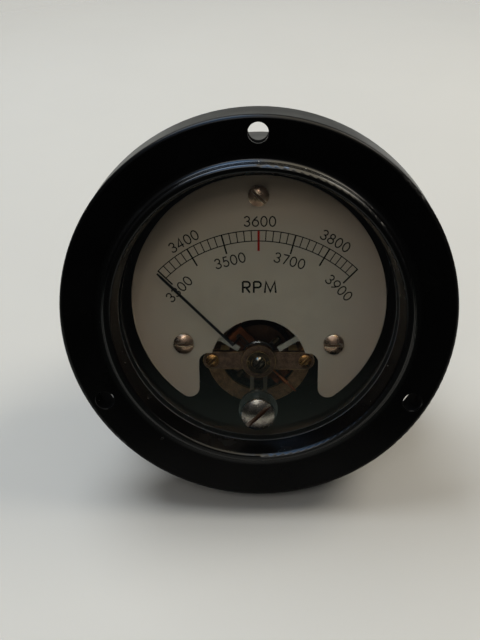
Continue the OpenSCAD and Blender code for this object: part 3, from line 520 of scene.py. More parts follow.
@shared_effect("Fine scratches", Vector=ORIGIN, Scale=160.0, Amount=0.5)
def fine_scratches(where, scale, amount):
    """Scratches: thin bands where long stretched noise passes its middle, kept only in patches."""
    masks = []
    for turn, stretch in ((0.5, 9.0), (-0.9, 12.0)):
        inputs = {"Vector": where, "Rotation": (0, turn, 0), "Scale": (1, 1, stretch)}
        turned = put("ShaderNodeMapping", inputs).outputs[0]
        lines = noise(turned, scale, detail=1.0, Distortion=0.4)
        off = calc("ABSOLUTE", calc("SUBTRACT", lines, 0.5))
        masks.append(calc("LESS_THAN", off, 0.004))
    limit = calc("SUBTRACT", 0.78, times(amount, 0.2))
    kept = calc("GREATER_THAN", noise(where, 210.0), limit)
    return {"Mask": times(calc("MAXIMUM", *masks), kept)}


@shared_effect("Edge wear", Vector=ORIGIN, Radius=0.2 * MM, Amount=0.5)
def edge_wear_and_glint(where, radius, amount):
    """Edge wear and painted edge highlight: how far the rounded normal turns from the true one,
    broken up by noise.
    """
    rounded = put("ShaderNodeBevel", {"Radius": radius}, samples=4).outputs[0]
    plain = put("ShaderNodeNewGeometry", tree=where.id_data).outputs["Normal"]
    turned = calc("SUBTRACT", 1.0, vector_calc("DOT_PRODUCT", rounded, plain))
    rubbed = times(between(turned, 0.01, 0.16), amount)
    broken = between(noise(where, 700.0, detail=4.0), 0.3, 0.62, 0.25, 1.0)
    return {"Mask": times(rubbed, broken, clamp=True)}


@shared_effect("Crevice grime", Reach=0.6 * MM, Amount=0.8)
def crevice_grime_and_shade(reach, amount):
    """Grime and painted shade: darkness from the share of a piece's own surface that shades a
    point, as in slots and corners.
    """
    inputs = {"Distance": reach}
    shade = put("ShaderNodeAmbientOcclusion", inputs, samples=6, only_local=True)
    shaded = between(shade.outputs["AO"], 0.95, 0.35)
    return {"Mask": times(shaded, amount, clamp=True)}


@shared_effect(
    "Patina", Vector=ORIGIN, Clean=(1, 1, 1, 1), Aged=(0, 0, 0, 1), Scale=500.0, Amount=0.5
)
def patina_patches(where, clean, aged, scale, amount):
    """Patina: a clean and an aged colour mixed by two scales of noise."""
    coarse = noise(where, scale, detail=5.0, Roughness=0.62)
    fine = noise(where, times(scale, 6.0))
    both = calc("ADD", times(coarse, 0.7), times(fine, 0.3))
    mask = times(between(both, 0.38, 0.62), amount, clamp=True)
    return {"Color": blended(mask, clean, aged), "Mask": mask}


@shared_effect("Metal grain", Vector=ORIGIN, Stretch=(1, 1, 12), Scale=900.0)
def metal_grain(where, stretch, scale):
    """Grain: noise stretched along one direction, as filed, rolled or brushed metal has it."""
    drawn = vector_calc("MULTIPLY", where, stretch)
    return {"Height": noise(drawn, scale, detail=3.0, Roughness=0.6)}


# Materials


def scaled(tone, factor):
    """A colour made darker or lighter by a factor."""
    return tuple(factor * c for c in tone)


def new_material(name, tone, **constants):
    """A material with one Principled shader whose constants are set on its own sockets."""
    material = bpy.data.materials.new(name)
    material.use_nodes = True
    material.diffuse_color = (*tone, 1)
    tree, shader = opened(material)
    fill(shader, {key.replace("_", " "): value for key, value in constants.items()})
    return material, tree, shader, own_place(tree)


def opened(material):
    """The node tree of a finish and its shader."""
    return material.node_tree, material.node_tree.nodes["Principled BSDF"]


def bumped(shader, height, distance, strength=1.0):
    """Feeds a height to the shader's normal through a Bump node."""
    inputs = {"Height": height, "Distance": distance, "Strength": strength}
    fill(shader, {"Normal": put("ShaderNodeBump", inputs).outputs[0]})


def moulded(name, look, base, rough, dust, wear, shine):
    """Moulded phenolic: black, rubbed at its edges, scratched and dusty."""
    material, tree, shader, where = new_material(name, base, Specular_IOR_Level=shine)
    rubbed = edge_wear_and_glint(tree, Vector=where, Radius=0.25 * MM, Amount=wear)["Mask"]
    specks = dust_specks(tree, Vector=where, Scale=1700.0, Amount=dust)["Mask"]
    marks = fine_scratches(tree, Vector=where, Scale=90.0, Amount=look.scratches)["Mask"]
    over = calc("MAXIMUM", times(specks, 0.9), times(marks, 0.2))
    tone = blended(over, blended(rubbed, base, look.worn), look.dust_tone)
    gloss = between(noise(where, 70.0, detail=4.0), 0.35, 0.7, rough, rough + 0.12)
    dull = calc("ADD", gloss, times(over, 0.4), clamp=True)
    fill(shader, {"Base Color": tone, "Roughness": dull})
    bumped(shader, noise(where, 260.0), 0.02 * MM, 0.18)
    return material


def zoned(material, look):
    """Polishes the bezel and the skirt, and dulls the flange and the hollow behind it."""
    tree, shader = opened(material)
    radius = radius_of(tree)
    crest = between(radius, look.bezel_to + 0.8 * MM, look.bezel_to)
    bezel = times(crest, between(radius, look.bezel_from, look.bezel_from + 0.6 * MM))
    skirt = between(radius, look.skirt_from, look.skirt_from + 0.4 * MM)
    behind = between(height_of(tree, "Y"), look.hollow_from, look.hollow_from + 0.3 * MM)
    flange = calc("SUBTRACT", 1.0, crest)
    hollow = times(behind, calc("SUBTRACT", flange, skirt, clamp=True))
    shine, low, high = look.skirt_shine, -26 * MM, -4 * MM
    rubbed = between(height_of(tree), low, high, 0.1 * shine, shine)
    polish = times(bezel, look.bezel_shine)
    coat = calc("ADD", polish, times(skirt, rubbed), clamp=True)
    dull = shader.inputs["Roughness"].links[0].from_socket
    for mask, more in ((calc("SUBTRACT", 1.0, bezel), 0.1), (skirt, 0.1), (hollow, 0.7)):
        dull = calc("ADD", dull, times(mask, more), clamp=True)
    fill(shader, {"Coat Weight": coat, "Coat Roughness": look.polish, "Roughness": dull})


def metal(name, clean, aged, rough, patina, edge=None, grime=0.8, dirt=None, grain=900.0,
          rub=0.12 * MM, reach=0.5 * MM, deep=0.01 * MM):
    """Aged metal: patina in patches, grime and painted shade in crevices, rubbed edges with a
    painted highlight and a directional grain.

    The lengths are the bright edge's width, the crevices' reach and the grain's depth.
    """
    # Unless given, edges take a brighter copy of the clean colour: rubbed metal and a painted
    # highlight.
    edge = edge or tuple(min(1.0, 1.5 * c + 0.05) for c in clean)
    material, tree, shader, where = new_material(name, clean, Metallic=1.0)
    tones = {"Clean": (*clean, 1), "Aged": (*aged, 1)}
    patches = patina_patches(tree, Vector=where, Scale=900.0, Amount=patina, **tones)
    # The rubbed mask lightens edges: partly wear, partly a painted highlight.
    rubbed = edge_wear_and_glint(tree, Vector=where, Radius=rub, Amount=0.9)["Mask"]
    # Darkening in crevices: partly grime, and rust on the zero screw, partly painted shade.
    grime_and_shade_mask = crevice_grime_and_shade(tree, Reach=reach, Amount=grime)["Mask"]
    tone = blended(rubbed, patches["Color"], edge)
    worn = calc("MAXIMUM", patches["Mask"], grime_and_shade_mask)
    inputs = {
        "Base Color": blended(grime_and_shade_mask, tone, dirt or scaled(aged, 0.22)),
        "Roughness": between(worn, 0.0, 1.0, rough, rough + 0.3),
    }
    fill(shader, inputs)
    lines = metal_grain(tree, Vector=where, Stretch=(1, 1, 10), Scale=grain)["Height"]
    bumped(shader, lines, deep, 0.6)
    return material


def toned(material, measure, low, high, tone, rough):
    """Takes a finish over to another colour and roughness between two heights or radii."""
    tree, shader = opened(material)
    mask = between(measure(tree), low, high)
    before, dull = (shader.inputs[key].links[0].from_socket for key in ("Base Color", "Roughness"))
    inputs = {
        "Base Color": blended(mask, before, tone),
        "Roughness": put("ShaderNodeMix", {0: mask, 2: dull, 3: rough}).outputs[0],
    }
    fill(shader, inputs)


def domed(material, radius, rim):
    """Rounds the look of a flat disc round the pivot as far as its rim, by the height of a ball."""
    tree, shader = opened(material)
    square = calc("POWER", calc("MINIMUM", from_pivot(tree), rim), 2.0)
    height = calc("SQRT", calc("SUBTRACT", radius**2, square, clamp=True))
    bumped(shader, height, 1.0)


def rubbery(name, base, dust_tone, rough=0.6):
    """Rubber or felt: a soft mottled tone with pale dust."""
    material, tree, shader, where = new_material(name, base, Sheen_Weight=0.15)
    mottle = noise(where, 900.0, detail=4.0)
    tone = blended(mottle, base, scaled(base, 2.2))
    specks = dust_specks(tree, Vector=where, Scale=1500.0, Amount=0.8)["Mask"]
    dull = between(mottle, 0.2, 0.8, rough, rough + 0.25)
    fill(shader, {"Base Color": blended(specks, tone, dust_tone), "Roughness": dull})
    bumped(shader, mottle, 0.02 * MM)
    return material


def painted(name, base, aged, rough, speckle=0.0, shine=0.5):
    """Flat paint: a slow change of tone, fine speckle and a soft tooth."""
    material, tree, shader, where = new_material(name, base, Specular_IOR_Level=shine)
    tones = {"Clean": (*base, 1), "Aged": (*scaled(base, aged), 1)}
    patches = patina_patches(tree, Vector=where, Scale=60.0, Amount=0.7, **tones)
    specks = dust_specks(tree, Vector=where, Scale=1400.0, Amount=speckle)["Mask"]
    tooth = noise(where, 3500.0)
    inputs = {
        "Base Color": blended(specks, patches["Color"], scaled(base, 0.3)),
        "Roughness": between(tooth, 0.3, 0.7, rough, rough + 0.15),
    }
    fill(shader, inputs)
    bumped(shader, tooth, 0.004 * MM)
    return material


def thin_out(shader, mask, tint=(1, 1, 1, 1)):
    """Lets a finish be seen through where a mask says so."""
    tree = shader.id_data
    clear = put("ShaderNodeBsdfTransparent", {"Color": tint}, tree).outputs[0]
    surface = mixed(mask, shader.outputs[0], clear)
    fill(tree.nodes["Material Output"], {"Surface": surface})


def clear_window(name, look):
    """Clear plastic: glass that lets lamps through, with a faint smudge."""
    tint = (*look.tint, 1)
    material, tree, shader, where = new_material(
        name, look.tint, Base_Color=tint, Transmission_Weight=1.0, IOR=1.49
    )
    smudge = between(noise(where, 55.0, detail=5.0), 0.45, 0.75, 0.0, look.haze)
    fill(shader, {"Roughness": smudge})
    shadow = put("ShaderNodeLightPath", tree=tree).outputs["Is Shadow Ray"]
    thin_out(shader, shadow, tint)
    return material


def dress(material, *nodes):
    """Gives CAD nodes their finish through their own material slots."""
    for name in nodes:
        for slot in frame["nodes"][name].material_slots:
            slot.material = material


def dress_metals(look, table):
    """Makes a table's metals and dresses their nodes; a word stands for one of the look's colours.

    A row holds a name, the clean and the aged colour, the roughness, the share of patina, the
    nodes and what else differs.
    """
    made = {}
    for name, clean, aged, rough, patina, nodes, more in table:
        values = {"clean": clean, **more}
        for key, value in values.items():
            if isinstance(value, str):
                values[key] = tuple(getattr(look, value))
        made[name] = metal(name, aged=aged, rough=rough, patina=patina, **values)
        dress(made[name], *nodes.split())
    return made


RUST = (0.12, 0.045, 0.02)
ZERO_METALS = (
    ("nickel", (0.28, 0.262, 0.222), (0.13, 0.105, 0.10), 0.15, 0.6, "zero_screw",
     {"edge": (0.6, 0.58, 0.54), "grime": 1.0, "dirt": RUST, "reach": 1.3 * MM, "deep": 0.03 * MM}),
    ("collar", (0.09, 0.1, 0.09), (0.05, 0.055, 0.05), 0.42, 0.6, "zero_screw_collar", {}),
    ("spring_arm", "lever", (0.10, 0.10, 0.08), 0.4, 0.5, "rear_spring_arm", {}),
    ("lever", "lever", (0.10, 0.10, 0.08), 0.4, 0.5, "zero_lever", {}),
)
# The dial screws' cream edge colour is a painted highlight on their rims.
DIAL_METALS = (
    ("dial_screw", "screw", (0.15, 0.085, 0.06), 0.24, 0.6, "dial_screws",
     {"edge": (0.95, 0.85, 0.62), "grime": 1.0, "rub": 0.2 * MM}),
)
# The bright edge colours of the bridges, nuts, plate and screws paint highlights along their edges,
# as well as rubbed metal.
FRAME_METALS = (
    ("bronze", "bronze", (0.06, 0.033, 0.023), 0.32, 0.8, "front_bridge rear_bridge",
     {"edge": "bronze_edge", "rub": 0.25 * MM, "deep": 0.02 * MM}),
    ("jewel_nut", (0.09, 0.06, 0.035), (0.012, 0.01, 0.009), 0.3, 1.0,
     "front_jewel_nut rear_jewel_nut", {"edge": "bronze_edge", "rub": 0.3 * MM}),
    ("jewel_screw", (0.13, 0.11, 0.09), (0.06, 0.05, 0.04), 0.16, 0.5,
     "front_jewel_screw rear_jewel_screw", {"grime": 1.0}),
    ("bronze_plate", "plate", (0.10, 0.055, 0.028), 0.3, 0.7, "ring_plate",
     {"edge": (0.6, 0.42, 0.2), "rub": 0.3 * MM}),
    ("yoke", "iron", (0.04, 0.025, 0.02), 0.38, 0.7, "yoke_ring", {}),
    ("magnet", "magnet", (0.04, 0.02, 0.012), 0.3, 0.6, "core_magnet", {}),
    ("brass", "brass", (0.26, 0.15, 0.06), 0.3, 0.45,
     "dial_posts core_supports bridge_pillars", {}),
    ("brass_screw", (0.32, 0.155, 0.055), (0.10, 0.045, 0.016), 0.26, 0.7,
     "bridge_screws rear_bridge_screws",
     {"edge": (0.8, 0.45, 0.13), "grime": 1.0, "rub": 0.25 * MM}),
    ("weight", (0.05, 0.035, 0.02), (0.02, 0.015, 0.01), 0.45, 0.5, "balance_weights", {}),
    ("bright_metal", "aluminium", (0.35, 0.34, 0.31), 0.35, 0.4, "base_plate", {}),
    ("dull_metal", (0.06, 0.052, 0.045), (0.03, 0.026, 0.022), 0.4, 0.5,
     "coil_former balance_arms", {}),
    ("stop_metal", (0.46, 0.42, 0.36), (0.28, 0.26, 0.22), 0.42, 0.4, "pointer_stops", {}),
)
COIL_METALS = (
    ("copper", "copper", (0.10, 0.03, 0.015), 0.3, 0.7, "", {"grain": 400.0}),
    ("copper_wire", "copper", (0.2, 0.06, 0.03), 0.4, 0.4, "pointer_tail", {}),
    ("hairspring", (0.5, 0.36, 0.18), (0.2, 0.12, 0.06), 0.25, 0.4,
     "front_hairspring rear_hairspring", {}),
    ("bright_steel", "steel", (0.3, 0.28, 0.25), 0.2, 0.2, "front_staff rear_staff", {}),
)
TERMINAL_METALS = (
    ("terminal_brass", "brass", (0.15, 0.085, 0.035), 0.32, 0.6, "terminal_nuts inner_nuts",
     {"edge": (0.7, 0.5, 0.25)}),
    ("plated_steel", "plating", (0.15, 0.13, 0.105), 0.34, 0.6,
     "case_screws movement_screws terminal_washers terminal_lock_washers", {"grime": 0.9}),
    ("tinned", "tin", (0.3, 0.29, 0.27), 0.36, 0.4, "terminal_lugs", {}),
    ("lead_wire", (0.5, 0.2, 0.1), (0.2, 0.07, 0.04), 0.35, 0.4, "lead_wires", {}),
)


# Operators


class TACHO_OT_moulding(Operator):
    """Finishes the front moulding, the rear case and the rubber pieces."""

    bl_idname = "tacho.moulding"
    bl_label = "Moulding"

    def execute(self, context):
        look = context.scene.tacho_moulding
        front = moulded(
            "phenolic", look, look.black, look.gloss, look.dust, wear=0.5, shine=look.shine
        )
        rear = moulded(
            "phenolic_rear", look, look.inside, 0.28, 0.3 * look.dust, wear=0.35, shine=0.2
        )
        zoned(front, look)
        dress(front, "front_housing")
        dress(rear, "rear_case")
        dress(rubbery("gasket", look.rubber, look.dust_tone), "front_gasket")
        dress(rubbery("rear_gasket", scaled(look.rubber, 0.4), look.dust_tone), "rear_gasket")
        dress(rubbery("seal", (0.006, 0.006, 0.006), look.dust_tone, rough=0.5), "zero_screw_seal")
        return {"FINISHED"}


class TACHO_OT_window(Operator):
    """Finishes the clear window."""

    bl_idname = "tacho.window"
    bl_label = "Window"

    def execute(self, context):
        dress(clear_window("window", context.scene.tacho_window), "window_glass")
        return {"FINISHED"}


class TACHO_OT_zero_adjuster(Operator):
    """Finishes the zero screw, its collar and the levers."""

    bl_idname = "tacho.zero_adjuster"
    bl_label = "Zero adjuster"

    def execute(self, context):
        lever = dress_metals(context.scene.tacho_movement, ZERO_METALS)["lever"]
        boss_from, soft = PIVOT[2] - 2.5 * MM, 0.2 * MM
        toned(lever, height_of, boss_from - soft, boss_from + soft, (0.04, 0.04, 0.04), 0.12)
        lo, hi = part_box("zero_lever")
        rim = (hi[0] - lo[0]) / 2
        domed(lever, radius=rim + 4.4 * MM, rim=rim)
        return {"FINISHED"}


class TACHO_OT_dial(Operator):
    """Paints the dial plate and finishes its screws."""

    bl_idname = "tacho.dial"
    bl_label = "Dial"

    def execute(self, context):
        look = context.scene.tacho_dial
        paint = painted("dial_paint", look.paint, aged=0.86, rough=0.5, speckle=0.25)
        # Painted shade towards the dial's rim.
        toned(paint, radius_of, 11 * MM, 25 * MM, look.tan, 0.55)
        # Painted light: across its top the dial takes a paler tone than the rim's painted shade,
        # brightening the bezel's shadow there.
        toned(paint, height_of, 9 * MM, 24 * MM, scaled(look.tan, 1.3), 0.55)
        dress(paint, "dial_plate")
        dress_metals(look, DIAL_METALS)
        return {"FINISHED"}


class TACHO_OT_dial_print(Operator):
    """Prints the scale, its numbers and the title on the dial."""

    bl_idname = "tacho.dial_print"
    bl_label = "Dial print"

    def execute(self, context):
        look = context.scene.tacho_dial
        depths = DIAL_FACE - look.film, DIAL_FACE + 0.5 * look.film
        centre = np.array([PIVOT[0], PIVOT[2]])
        half, divisions, numbered = look.span / 2, 30, 5
        angles = np.linspace(-half, half, divisions + 1)
        angles -= look.shortfall * np.clip(angles / half, 0, 1) ** 3

        def way(angle):
            """The direction of an angle clockwise from up: its sine and cosine."""
            return np.stack([np.sin(angle), np.cos(angle)], axis=-1)

        def ray(angle, inner, outer, width):
            """A straight mark from one radius to another."""
            ends = [centre + radius * way(angle) for radius in (inner, outer)]
            return ribbon(ends, width, depths)

        def ring_line(radius):
            """A thin line along an arc, whose points lie a radius from the centre."""
            path = centre + radius * way(np.linspace(angles[0], angles[-1], 121))
            return ribbon(path, look.line, depths)

        ink = painted("dial_ink", look.ink, aged=1.8, rough=0.5, shine=0.08)
        red = painted("dial_red", look.red, aged=0.7, rough=0.5, shine=0.08)
        outer = look.outer_arc + look.line / 2
        marks = [ring_line(look.outer_arc), ring_line(look.inner_arc)]
        for i, angle in enumerate(angles):
            if i % numbered:
                marks.append(ray(angle, look.inner_arc, look.outer_arc, look.line))
            elif i != divisions // 2:
                marks.append(ray(angle, look.major_end, outer, look.bold))
        middle = ray(0.0, look.major_end - 0.15 * MM, outer, 1.45 * look.bold)

        numbers, aside = [], np.array([0.22, 0.08]) * MM
        for i, angle in enumerate(angles[::numbered]):
            radius = look.outer_numbers if i % 2 else look.inner_numbers
            place = centre + radius * way(angle) + aside
            text = str(look.first + i * look.step)
            numbers += lettered(text, place, angle, look.digit, look.digit_line, depths, gap=0.25)
        place = np.array([0.13, 2.68]) * MM
        title = lettered("RPM", place, 0.0, look.title, look.title_line, depths, gap=0.34)
        for name, parts, material in (
            ("dial_scale", marks, ink),
            ("dial_red_mark", [middle], red),
            ("dial_numbers", numbers, ink),
            ("dial_title", title, ink),
        ):
            make_piece(name, parts, material, "case")
        return {"FINISHED"}


class TACHO_OT_movement_frame(Operator):
    """Finishes the bridges, the yoke, the core, the posts and the base plate."""

    bl_idname = "tacho.movement_frame"
    bl_label = "Movement frame"

    def execute(self, context):
        made = dress_metals(context.scene.tacho_movement, FRAME_METALS)
        domed(made["jewel_screw"], radius=1.7 * MM, rim=1.2 * MM)
        # Painted shade: the ring plate turns dark above the pivot, behind the dial.
        low, high = PIVOT[2] - 1 * MM, PIVOT[2] + 3 * MM
        toned(made["bronze_plate"], height_of, low, high, (0.06, 0.035, 0.022), 0.4)
        return {"FINISHED"}


class TACHO_OT_moving_coil(Operator):
    """Winds the coil and the tail's weight, and finishes the springs, staffs and pointer."""

    bl_idname = "tacho.moving_coil"
    bl_label = "Moving coil"

    def execute(self, context):
        look = context.scene.tacho_movement
        copper = dress_metals(look, COIL_METALS)["copper"]
        toned(copper, from_pivot, 7.4 * MM, 4.6 * MM, look.shaded, 0.4)
        winding(look, copper)
        tail_coil(look, copper)
        paint = painted("pointer_paint", look.black, aged=2.0, rough=0.45, shine=0.08)
        toned(paint, from_pivot, 5.8 * MM, 5.0 * MM, scaled(look.shaded, 0.4), 0.5)
        dress(paint, "pointer")
        return {"FINISHED"}


def swung(across, along, depth):
    """Points in the coil's own directions turned to the pointer's rest angle round its pivot."""
    a = math.radians(REST_ANGLE)
    x = PIVOT[0] + across * math.cos(a) + along * math.sin(a)
    z = PIVOT[2] - across * math.sin(a) + along * math.cos(a)
    return np.stack(np.broadcast_arrays(x, depth, z), axis=-1)


def winding(look, material):
    """The coil's wires: a scalloped profile carried round a rectangle with round corners.

    The path is the rectangle half way through the winding, with a quarter circle at each corner.
    Each profile point moves from it along the outward normal, by half the thickness and less
    between two wires, and across the coil's width.
    """
    lo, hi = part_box("coil_winding")
    box_side = (hi[0] - lo[0] + hi[2] - lo[2]) / 2
    wide, thick, corner, groove = 3.2 * MM, 0.75 * MM, 0.4 * MM, 0.035 * MM
    points_per_wire = 6
    front, back = lo[1] + thick / 2, hi[1] - thick / 2
    reach = (box_side / math.sqrt(0.5) - wide) / 2 - thick / 2
    half_depth, middle = (back - front) / 2, (back + front) / 2
    corners = []
    for k, (sx, sy) in enumerate(((1, 1), (-1, 1), (-1, -1), (1, -1))):
        t = np.radians(np.linspace(0, 90, 7)) + k * math.pi / 2
        normal = np.column_stack([np.cos(t), np.sin(t)])
        inner = np.array([sx * (reach - corner), sy * (half_depth - corner)])
        corners.append(np.hstack([inner + corner * normal, normal]))
    x, y, nx, ny = np.concatenate(corners).T[:, :, None]
    count = int(round(wide / look.wire))
    u = np.linspace(-1, 1, points_per_wire * count + 1)
    crest = np.abs(np.cos(0.5 * math.pi * count * (u + 1)))
    top = thick / 2 - groove * (1 - crest)
    across = np.concatenate([u * wide / 2, [wide / 2, -wide / 2]])
    height = np.concatenate([top, [-thick / 2, -thick / 2]])
    points = swung(across, x + nx * height, middle + y + ny * height)
    wound("coil_wires", points, material, "coil_winding")


def tail_coil(look, material):
    """The weight wound on the pointer's tail: a tube whose outside swells along a helix.

    A point at a share v of a turn and a share s of the length has the radius of the wire's
    outside, less a groove where the helix passes from one turn to the next. Its bore clears the
    tail.
    """
    lo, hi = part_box("tail_weight")
    axis, outer = (lo[1] + hi[1]) / 2, (hi[1] - lo[1]) / 2
    long, groove, bore = 2.2 * MM, 0.09 * MM, 0.22 * MM
    far = math.hypot(lo[2] - PIVOT[2], hi[0] - PIVOT[0]) - outer
    rows_per_turn, turns = 10, long / look.tail_wire
    v = np.linspace(0, 1, 32, endpoint=False)
    s = np.linspace(0, 1, int(rows_per_turn * turns))
    phase = s[:, None] * turns - v[None, :]
    swell = np.sqrt(np.clip(1 - (2 * (phase - np.floor(phase)) - 1) ** 2, 0, 1))
    ends = np.full((1, len(v)), bore)
    radius = np.concatenate([ends, outer - groove * (1 - swell), ends])
    s = np.concatenate([[0.0], s, [1.0]])
    t = 2 * math.pi * v[None, :]
    along = -(far - long + long * s[:, None])
    points = swung(radius * np.cos(t), along, axis + radius * np.sin(t))
    wound("tail_weight_wires", points, material, "tail_weight")


class TACHO_OT_terminals(Operator):
    """Cuts the studs' threads and finishes the terminals, the screws and the leads."""

    bl_idname = "tacho.terminals"
    bl_label = "Terminals"

    def execute(self, context):
        look = context.scene.tacho_terminals
        threaded_studs(look, dress_metals(look, TERMINAL_METALS)["terminal_brass"])
        return {"FINISHED"}


def threaded_studs(look, material):
    """The terminal studs with their threads, as two closed tubes.

    At a share v of a turn and a depth y the radius is the crest's, slimmer within the nuts, less
    the thread's depth times a triangle wave that climbs one pitch in a turn. Rows at both ends
    shrink by the chamfer.
    """
    lo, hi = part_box("terminal_studs")
    nuts_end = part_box("terminal_nuts")[1][1]
    crest, chamfer, slimmer = (hi[2] - lo[2]) / 2, 0.5 * MM, 0.2 * MM
    rows_per_turn, turns = 10, (hi[1] - lo[1]) / look.pitch
    y = np.linspace(lo[1], hi[1], int(turns * rows_per_turn))[:, None]
    v = np.linspace(0, 1, 48, endpoint=False)
    climb = y / look.pitch - v
    wave = np.abs(2 * (climb - np.floor(climb)) - 1)
    radius = np.where(y > nuts_end, crest, crest - slimmer) - look.groove * (1 - wave)
    radius = np.minimum(radius, crest - chamfer + np.minimum(hi[1] - y, y - lo[1]))
    t = 2 * math.pi * v
    parts = []
    for side in (-1, 1):
        x = side * (hi[0] - crest) + radius * np.cos(t)
        ring = np.stack(np.broadcast_arrays(x, y, radius * np.sin(t)), axis=-1)
        parts.append(shut_tube(ring))
    make_piece("stud_threads", parts, material, "case", ["terminal_studs"])


class TACHO_OT_stage(Operator):
    """Sets up the floor, the room, the lamps and the camera."""

    bl_idname = "tacho.stage"
    bl_label = "Stage"

    def execute(self, context):
        look = context.scene.tacho_stage
        context.scene.view_settings.view_transform = "Standard"
        up = Vector((0, -math.sin(look.lean), math.cos(look.lean)))
        ahead = Vector((0, math.cos(look.lean), math.sin(look.lean)))
        make_floor(look, ahead)
        make_room(look, up, ahead)
        for name, place, size, power, tone in (
            ("top_lamp", (-0.22, 0.24, 0.58), 0.45, look.top_power, (0.90, 0.96, 1.0)),
            ("side_lamp", (0.4, 0.16, 0.46), 0.3, look.side_power, (1.0, 0.94, 0.82)),
            ("front_lamp", (-0.08, -0.42, 0.5), 0.22, look.front_power, (1.0, 0.98, 0.95)),
        ):
            data = bpy.data.lights.new(name, "AREA")
            data.shape, data.size, data.energy, data.color = "DISK", size, power, tone
            lamp = linked(name, data)
            lamp.location = place[0] * Vector((1, 0, 0)) + place[1] * ahead + place[2] * up
            lamp.rotation_mode = "QUATERNION"
            lamp.rotation_quaternion = (-lamp.location).to_track_quat("-Z", "Y")
            lamp.visible_camera = False
        make_camera(look)
        return {"FINISHED"}


def make_floor(look, ahead):
    """A pale round floor that the object leans on, seen only from above and fading at its edge.

    Its edge is the middle plus the radius times the cosine to the side and the sine ahead.
    """
    radius, front, fade_from, cols = 0.42, 0.11, 0.17, 96
    foot = (0, 0, CAD_BOUNDS[0][2])
    t = np.linspace(0, 2 * math.pi, cols, endpoint=False)[:, None]
    middle = np.array(foot) + (radius - front) * np.array(ahead)
    ring = middle + radius * (np.cos(t) * np.array([1, 0, 0]) + np.sin(t) * np.array(ahead))
    mesh = bpy.data.meshes.new("floor")
    mesh.from_pydata(ring.tolist(), [], [tuple(range(cols))])
    material, tree, shader, where = new_material("floor", look.floor, Roughness=0.6)
    mottle = noise(where, 22.0, detail=6.0)
    tone = blended(mottle, scaled(look.floor, 0.96), scaled(look.floor, 1.03))
    fill(shader, {"Base Color": tone})
    back = put("ShaderNodeNewGeometry", tree=tree).outputs["Backfacing"]
    gone = between(vector_calc("DISTANCE", where, foot), fade_from, radius - front)
    thin_out(shader, calc("MAXIMUM", back, gone))
    mesh.materials.append(material)
    floor = linked("floor", mesh)


def make_room(look, up, ahead):
    """A dim room, brighter overhead, and pale where the camera or clear pieces see it.

    Glossy pieces also reflect a gleam overhead, the backdrop behind the object and a dark table.
    """
    world = bpy.data.worlds.new("room")
    world.use_nodes = True
    bpy.context.scene.world = world
    tree = world.node_tree
    tree.nodes.clear()
    way = put("ShaderNodeTexCoord", tree=tree).outputs["Generated"]
    aside = put("ShaderNodeSeparateXYZ", {0: way}).outputs["X"]
    rise = vector_calc("DOT_PRODUCT", way, tuple(up))
    away = vector_calc("DOT_PRODUCT", way, tuple(ahead))
    path = put("ShaderNodeLightPath", tree=tree).outputs
    shiny = path["Is Glossy Ray"]
    bounces = calc("ADD", path["Diffuse Depth"], path["Glossy Depth"])
    through = times(path["Is Transmission Ray"], calc("LESS_THAN", bounces, 0.5))
    seen = calc("MAXIMUM", path["Is Camera Ray"], through)
    grazed = times(shiny, between(away, 0.45, 0.8, 0.0, 0.6))
    room_light = times(between(rise, 0.1, 0.9, 0.12, 1.0), look.fill)
    gleam = blended(between(aside, -0.12, 0.08), look.gleam, look.glow)
    full = look.gleam_strength
    gleam_light = between(aside, -0.6, -0.2, 0.12 * full, full)
    result = None
    for mask, tone, light in (
        (None, (0.95, 0.98, 1.0, 1), room_light),
        (times(shiny, between(rise, 0.72, 0.97)), gleam, gleam_light),
        (times(shiny, between(rise, 0.0, -0.13)), (*look.below, 1), 1.0),
        (calc("MAXIMUM", seen, grazed), (*look.backdrop, 1), 1.0),
    ):
        inputs = {"Color": tone, "Strength": light}
        layer = put("ShaderNodeBackground", inputs, tree).outputs[0]
        result = layer if mask is None else mixed(mask, result, layer)
    put("ShaderNodeOutputWorld", {"Surface": result})


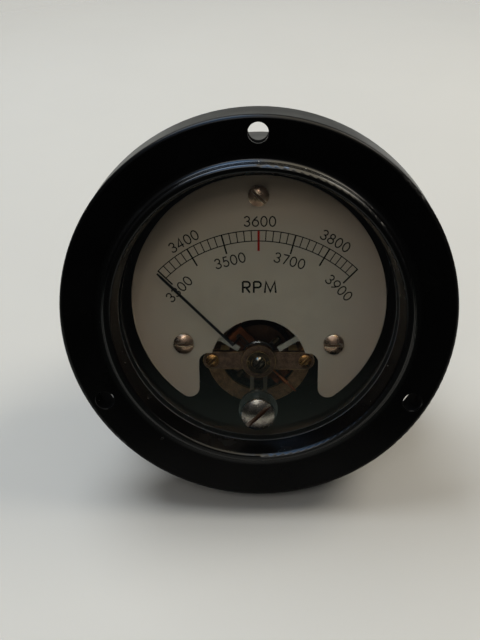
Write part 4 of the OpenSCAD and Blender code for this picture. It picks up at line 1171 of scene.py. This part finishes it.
def make_camera(look):
    """The camera where the photograph was taken from, by the object's own holes and rims."""
    pitch, yaw, roll = (math.radians(a) for a in (18.829, -1.778, -0.335))
    flat = Vector((math.sin(yaw), math.cos(yaw), 0))
    ahead = flat * math.cos(pitch) - Vector((0, 0, math.sin(pitch)))
    data = bpy.data.cameras.new("camera")
    data.lens, data.sensor_width, data.sensor_fit = look.lens, 36.0, "AUTO"
    data.clip_start, data.clip_end = 0.01, 10.0
    camera = linked("camera", data)
    place = Vector((1.735, -163.33, 52.105)) * MM
    turn = ahead.to_track_quat("-Z", "Y") @ Quaternion((0, 0, 1), roll)
    camera.matrix_world = Matrix.LocRotScale(place, turn, None)
    bpy.context.scene.camera = camera


class TACHO_PT_panel(Panel):
    """Lists the looks and the operators in the sidebar."""

    bl_idname = "TACHO_PT_panel"
    bl_label = "Tachometer"
    bl_space_type = "VIEW_3D"
    bl_region_type = "UI"
    bl_category = "Tachometer"

    def draw(self, context):
        for name, look in LOOKS.items():
            box = self.layout.box()
            box.label(text=name.capitalize())
            for key in look.__annotations__:
                box.prop(getattr(context.scene, "tacho_" + name), key)
        for operator in OPERATORS:
            self.layout.operator(operator.bl_idname)


OPERATORS = (
    TACHO_OT_stage,
    TACHO_OT_moulding,
    TACHO_OT_window,
    TACHO_OT_zero_adjuster,
    TACHO_OT_dial,
    TACHO_OT_dial_print,
    TACHO_OT_movement_frame,
    TACHO_OT_moving_coil,
    TACHO_OT_terminals,
)
CLASSES = (*LOOKS.values(), *OPERATORS, TACHO_PT_panel)


def register():
    """Registers the classes and hangs each look on the scene."""
    for cls in CLASSES:
        bpy.utils.register_class(cls)
    for name, look in LOOKS.items():
        setattr(bpy.types.Scene, "tacho_" + name, PointerProperty(type=look))


def unregister():
    """Takes the looks and the classes away again."""
    for name in LOOKS:
        delattr(bpy.types.Scene, "tacho_" + name)
    for cls in reversed(CLASSES):
        bpy.utils.unregister_class(cls)


def main():
    """Registers the add-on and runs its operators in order."""
    register()
    for operator in OPERATORS:
        group, name = operator.bl_idname.split(".")
        getattr(getattr(bpy.ops, group), name)()


if __name__ == "__main__":
    main()
